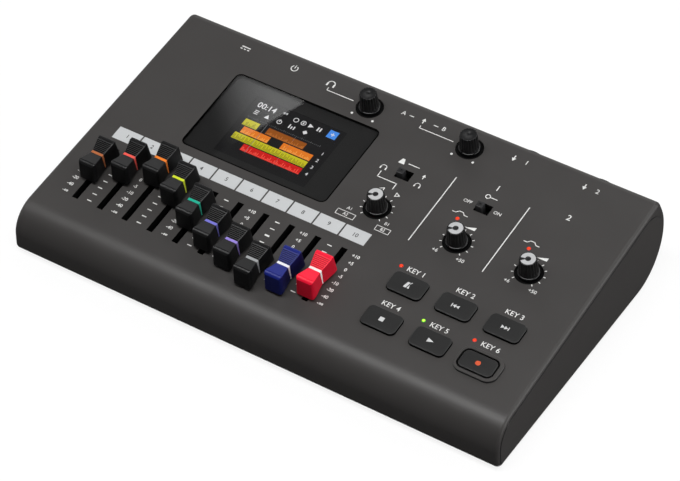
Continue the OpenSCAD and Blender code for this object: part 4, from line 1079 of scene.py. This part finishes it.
def lit(x, v, width, depth, rise=0.02):
    """A lit rectangle, with its corner at (x, v) in mm from the corner of the picture."""
    return bar(LCD_X0 + x + width / 2, LCD_V0 + v + depth / 2, width, depth,
               LCD_W - 0.01, LCD_W + rise)


LIT = {"low": LCD_W - 0.01, "top": LCD_W + 0.02}


def wave(x0, x1, v, tall, beat):
    """Thin bars in a row, whose heights follow the product of two sines."""
    x = np.arange(x0 + 0.3, x1 - 0.3, 0.62)
    height = 0.25 + tall * np.abs(np.sin(beat * x) * np.sin(0.37 * beat * x + 1))
    return [lit(a, v + 0.15, 0.34, h, 0.035) for a, h in zip(x, height)]


def ruler(x0, x1, v):
    """Ticks every millimetre, each fifth one longer."""
    return [lit(x, v, 0.18, 0.9 if i % 5 == 0 else 0.45)
            for i, x in enumerate(np.arange(x0, x1, 1.0))]


def screen_ring(x, v, radius):
    """A lit ring about (x, v)."""
    return ribbon(arc(LCD_X0 + x, LCD_V0 + v, radius, 0, 360), 0.35, **LIT)


def screen_plate(points):
    """A lit filled outline, in mm from the picture's corner."""
    return plate(np.array(points) + (LCD_X0, LCD_V0), **LIT)


LANE = 4.0            # height of a lane of the picture
LANES = (5.4, 10.0, 14.6, 19.2)
lane_numbers = [letters(str(4 - i), 2.6, LCD_X0 + 46.8, LCD_V0 + v + 2, **LIT)
                for i, v in enumerate(LANES)]
icons = [letters("00:14", 4.6, LCD_X0 + 3, LCD_V0 + 33.2, align="LEFT", **LIT),
         letters("4/4", 1.9, LCD_X0 + 16.6, LCD_V0 + 34.3, align="LEFT", **LIT),
         screen_ring(24.5, 33.2, 1.2), screen_ring(28.6, 33.2, 1.2), lit(28.3, 32.6, 0.6, 1.2),
         screen_plate([(31.6, 32.0), (34.2, 33.2), (31.6, 34.4)]),
         lit(36.3, 32.0, 0.7, 2.4), lit(37.7, 32.0, 0.7, 2.4),
         lit(4, 27.4, 2.2, 0.4), lit(4, 28.4, 2.2, 0.4), lit(4, 29.4, 2.2, 0.4),
         screen_plate([(10, 27.4), (12.6, 27.4), (11.3, 29.8)]),
         screen_ring(18, 28.6, 1.15), lit(17.8, 28.6, 0.4, 1.6),
         lit(23.4, 27.4, 0.6, 2.4), lit(24.7, 27.4, 0.6, 1.6), lit(26, 27.4, 0.6, 2.0),
         screen_plate([(31, 28.6), (32.3, 27.3), (33.6, 28.6), (32.3, 29.9)])]
plus = [lit(43.6, 33.2, 2, 0.45, 0.04), lit(44.4, 32.4, 0.45, 2, 0.04)]
cursors = [lit(14.0, 5, 0.2, 19.2, 0.045), lit(30.0, 5, 0.16, 19.2)]
picture = {
    "screen_blue": ("4a94f4", [lit(42.2, 31.0, 4.8, 4.8)]),
    "screen_white": ("e8e8ea", icons + lane_numbers + plus),
    "screen_dim": ("7c7e80", ruler(3, 44, 24.4) + cursors),
}
# Clips by colour: area and wave code, then (start, end, lane, height of the wave, its beat)
CLIPS = {"red": ("d8100c", "ff5a48", [(11, 43.5, 0, 2.6, 2.3)]),
         "yellow": ("cfc81a", "8f8a0e", [(3, 43.5, 1, 3.2, 5.1), (3, 11, 3, 3.0, 4.0)]),
         "orange": ("f07f1c", "ffb04e", [(5, 20, 2, 2.4, 3.1), (27, 43.5, 2, 2.2, 2.7)]),
         "brown": ("9a5008", "c8762a", [(16, 37, 3, 2.0, 2.9)])}
for name, (area_code, wave_code, clips) in CLIPS.items():
    areas = [lit(start, LANES[lane], end - start, LANE) for start, end, lane, tall, beat in clips]
    waves = [wave(start, end, LANES[lane], tall, beat) for start, end, lane, tall, beat in clips]
    picture[f"screen_{name}"] = (area_code, areas)
    picture[f"screen_{name}_wave"] = (wave_code, sum(waves, []))
for name, (code, parts) in picture.items():
    add_piece(name, join(parts), glowing(name, code, 1.0))
finish_nodes(["display_module"], moulded("display_black", "242425", 0.6, **EVEN))
print("picture areas:", sum(len(parts) for code, parts in picture.values()))

# %% [markdown]
# Studio: a pale floor, soft lamps and the camera that matches the photograph's view. The floor can
# be seen from above only, so that the underside shows from below. The lamp for it is linked to the
# pieces of the base alone, because the floor would stop its light. The other lamps leave out the
# cover glass, as a photographer does who turns the glare away: it mirrors one pale card instead.

# %% Stage


def stage_sheet(name, outline, material):
    """A flat sheet of the studio, which is no part of the object."""
    mesh = bpy.data.meshes.new(name)
    mesh.from_pydata(outline, [], [tuple(range(len(outline)))])
    mesh.materials.append(material)
    new_object(name, mesh)


def seen_directly(tree):
    """1 for rays from the camera and rays through glass, else 0."""
    path = add_node(tree, "ShaderNodeLightPath").outputs
    return maths(tree, "MAXIMUM", path["Is Camera Ray"], path["Is Transmission Ray"])


def show_mix(tree, part, first, second):
    """Mixes two shaders and makes the mixture the surface of the material."""
    blend = add_node(tree, "ShaderNodeMixShader", [(0, part), (1, first), (2, second)]).outputs[0]
    tree.links.new(blend, tree.nodes["Material Output"].inputs["Surface"])
    return blend


paper, paper_tree, paper_shader = plain_material("paper")
seen = seen_directly(paper_tree)
shade = add_node(paper_tree, "ShaderNodeMapRange",
                 [("Value", seen), ("To Min", 0.08), ("To Max", 0.85)])
paper_tree.links.new(shade.outputs[0], paper_shader.inputs["Base Color"])
paper_shader.inputs["Roughness"].default_value = 0.9
white = add_node(paper_tree, "ShaderNodeEmission", [("Strength", 1.06)])
part = maths(paper_tree, "MULTIPLY", seen, 0.82)
top_side = show_mix(paper_tree, part, paper_shader.outputs[0], white.outputs[0])
below = add_node(paper_tree, "ShaderNodeNewGeometry").outputs["Backfacing"]
gone = add_node(paper_tree, "ShaderNodeBsdfTransparent").outputs[0]
show_mix(paper_tree, below, top_side, gone)
FLOOR = 3.0           # from the middle to an edge, in metres
stage_sheet("floor", [(x, y, 0) for x, y in box(0, 0, 2 * FLOOR, 2 * FLOOR)], paper)

world = bpy.data.worlds.new("studio")
bpy.context.scene.world = world
world.use_nodes = True
sky = world.node_tree.nodes["Background"]
level = add_node(world.node_tree, "ShaderNodeMapRange",
                 [("Value", seen_directly(world.node_tree)), ("To Min", 0.05), ("To Max", 1.0)])
world.node_tree.links.new(level.outputs[0], sky.inputs["Strength"])
sky.inputs["Color"].default_value = (1, 1, 1, 1)


no_glare = bpy.data.collections.new("no_glare")
no_glare.objects.link(window)
no_glare.collection_objects[0].light_linking.link_state = "EXCLUDE"


def soft_lamp(name, place, target, size, power):
    """A rectangular lamp at place that faces target, in metres and watts, and spares the glass."""
    lamp = bpy.data.lights.new(name, "AREA")
    lamp.shape = "RECTANGLE"
    lamp.size, lamp.size_y = size
    lamp.energy = power
    holder = new_object(name, lamp)
    turn = (Vector(place) - Vector(target)).to_track_quat("Z", "Y").to_matrix().to_4x4()
    holder.matrix_world = Matrix.Translation(place) @ turn
    holder.light_linking.receiver_collection = no_glare
    return holder


soft_lamp("overhead", (0.02, -0.29, 1.0), (0, 0, 0.03), (1.2, 0.32), 9)
soft_lamp("back_fill", (0.35, 0.95, 1.2), (0, 0, 0.03), (1.0, 0.6), 4)
soft_lamp("side_fill", (1.4, 0.35, 0.45), (0, 0, 0.02), (1.5, 0.9), 11)
soft_lamp("left_wall", (-1.4, -0.1, 0.5), (0, 0, 0.02), (1.5, 0.8), 4)
soft_lamp("back_wall", (-0.7, 1.5, 0.7), (0, 0, 0.03), (2.0, 0.9), 5)
underside = bpy.data.collections.new("underside")
for name in ("base_shell", "battery_lid", "lid_ridges", "feet", "screws"):
    underside.objects.link(bpy.data.objects[name])
from_below = soft_lamp("from_below", (0, 0, -1.0), (0, 0, 0), (1.2, 0.8), 12)
from_below.data.cycles.max_bounces = 0
from_below.light_linking.receiver_collection = underside
from_below.light_linking.blocker_collection = underside

CARD_Z = 0.9          # height of the card, in metres
CARD_FADE = (0.64, 0.768, 0)    # the card grows brighter this way
card, card_tree, card_shader = plain_material("mirror_card")
card_tree.nodes.remove(card_shader)
place = add_node(card_tree, "ShaderNodeTexCoord").outputs["Object"]
along = add_node(card_tree, "ShaderNodeVectorMath", [(0, place), (1, CARD_FADE)],
                 operation="DOT_PRODUCT").outputs["Value"]
fade = add_node(card_tree, "ShaderNodeMapRange",
                [("Value", along), ("From Min", -0.019), ("From Max", 0.049), ("To Max", 1.3)],
                interpolation_type="SMOOTHSTEP")
glow = add_node(card_tree, "ShaderNodeEmission", [("Strength", fade.outputs[0])])
mirrored = add_node(card_tree, "ShaderNodeLightPath").outputs["Is Glossy Ray"]
gone = add_node(card_tree, "ShaderNodeBsdfTransparent").outputs[0]
show_mix(card_tree, mirrored, gone, glow.outputs[0])
stage_sheet("mirror_card", [(-0.66, 0.60, CARD_Z), (-0.4645, 0.60, CARD_Z), (-0.559, 0.42, CARD_Z),
                            (-0.66, 0.42, CARD_Z)], card)

CAMERA_AT = (0.5106, -0.760665, 0.8940)    # from a fit to the panel's features
RIGHT = (0.8404, 0.5417, -0.0180)
UPWARD = (-0.3652, 0.5905, 0.7197)
BACK = (0.4005, -0.5982, 0.6940)
FOCUS_PX = 2774.56    # focal length in the photograph's pixels
IMAGE_W = 680
camera_data = bpy.data.cameras.new("camera")
camera_data.sensor_width = 36.0
camera_data.lens = FOCUS_PX / IMAGE_W * camera_data.sensor_width
camera = new_object("camera", camera_data)
pose = Matrix((RIGHT, UPWARD, BACK)).transposed().to_4x4()
pose.translation = CAMERA_AT
camera.matrix_world = pose
bpy.context.scene.camera = camera
bpy.context.scene.view_settings.view_transform = "Standard"
print("camera lens", round(camera_data.lens, 1), "mm")
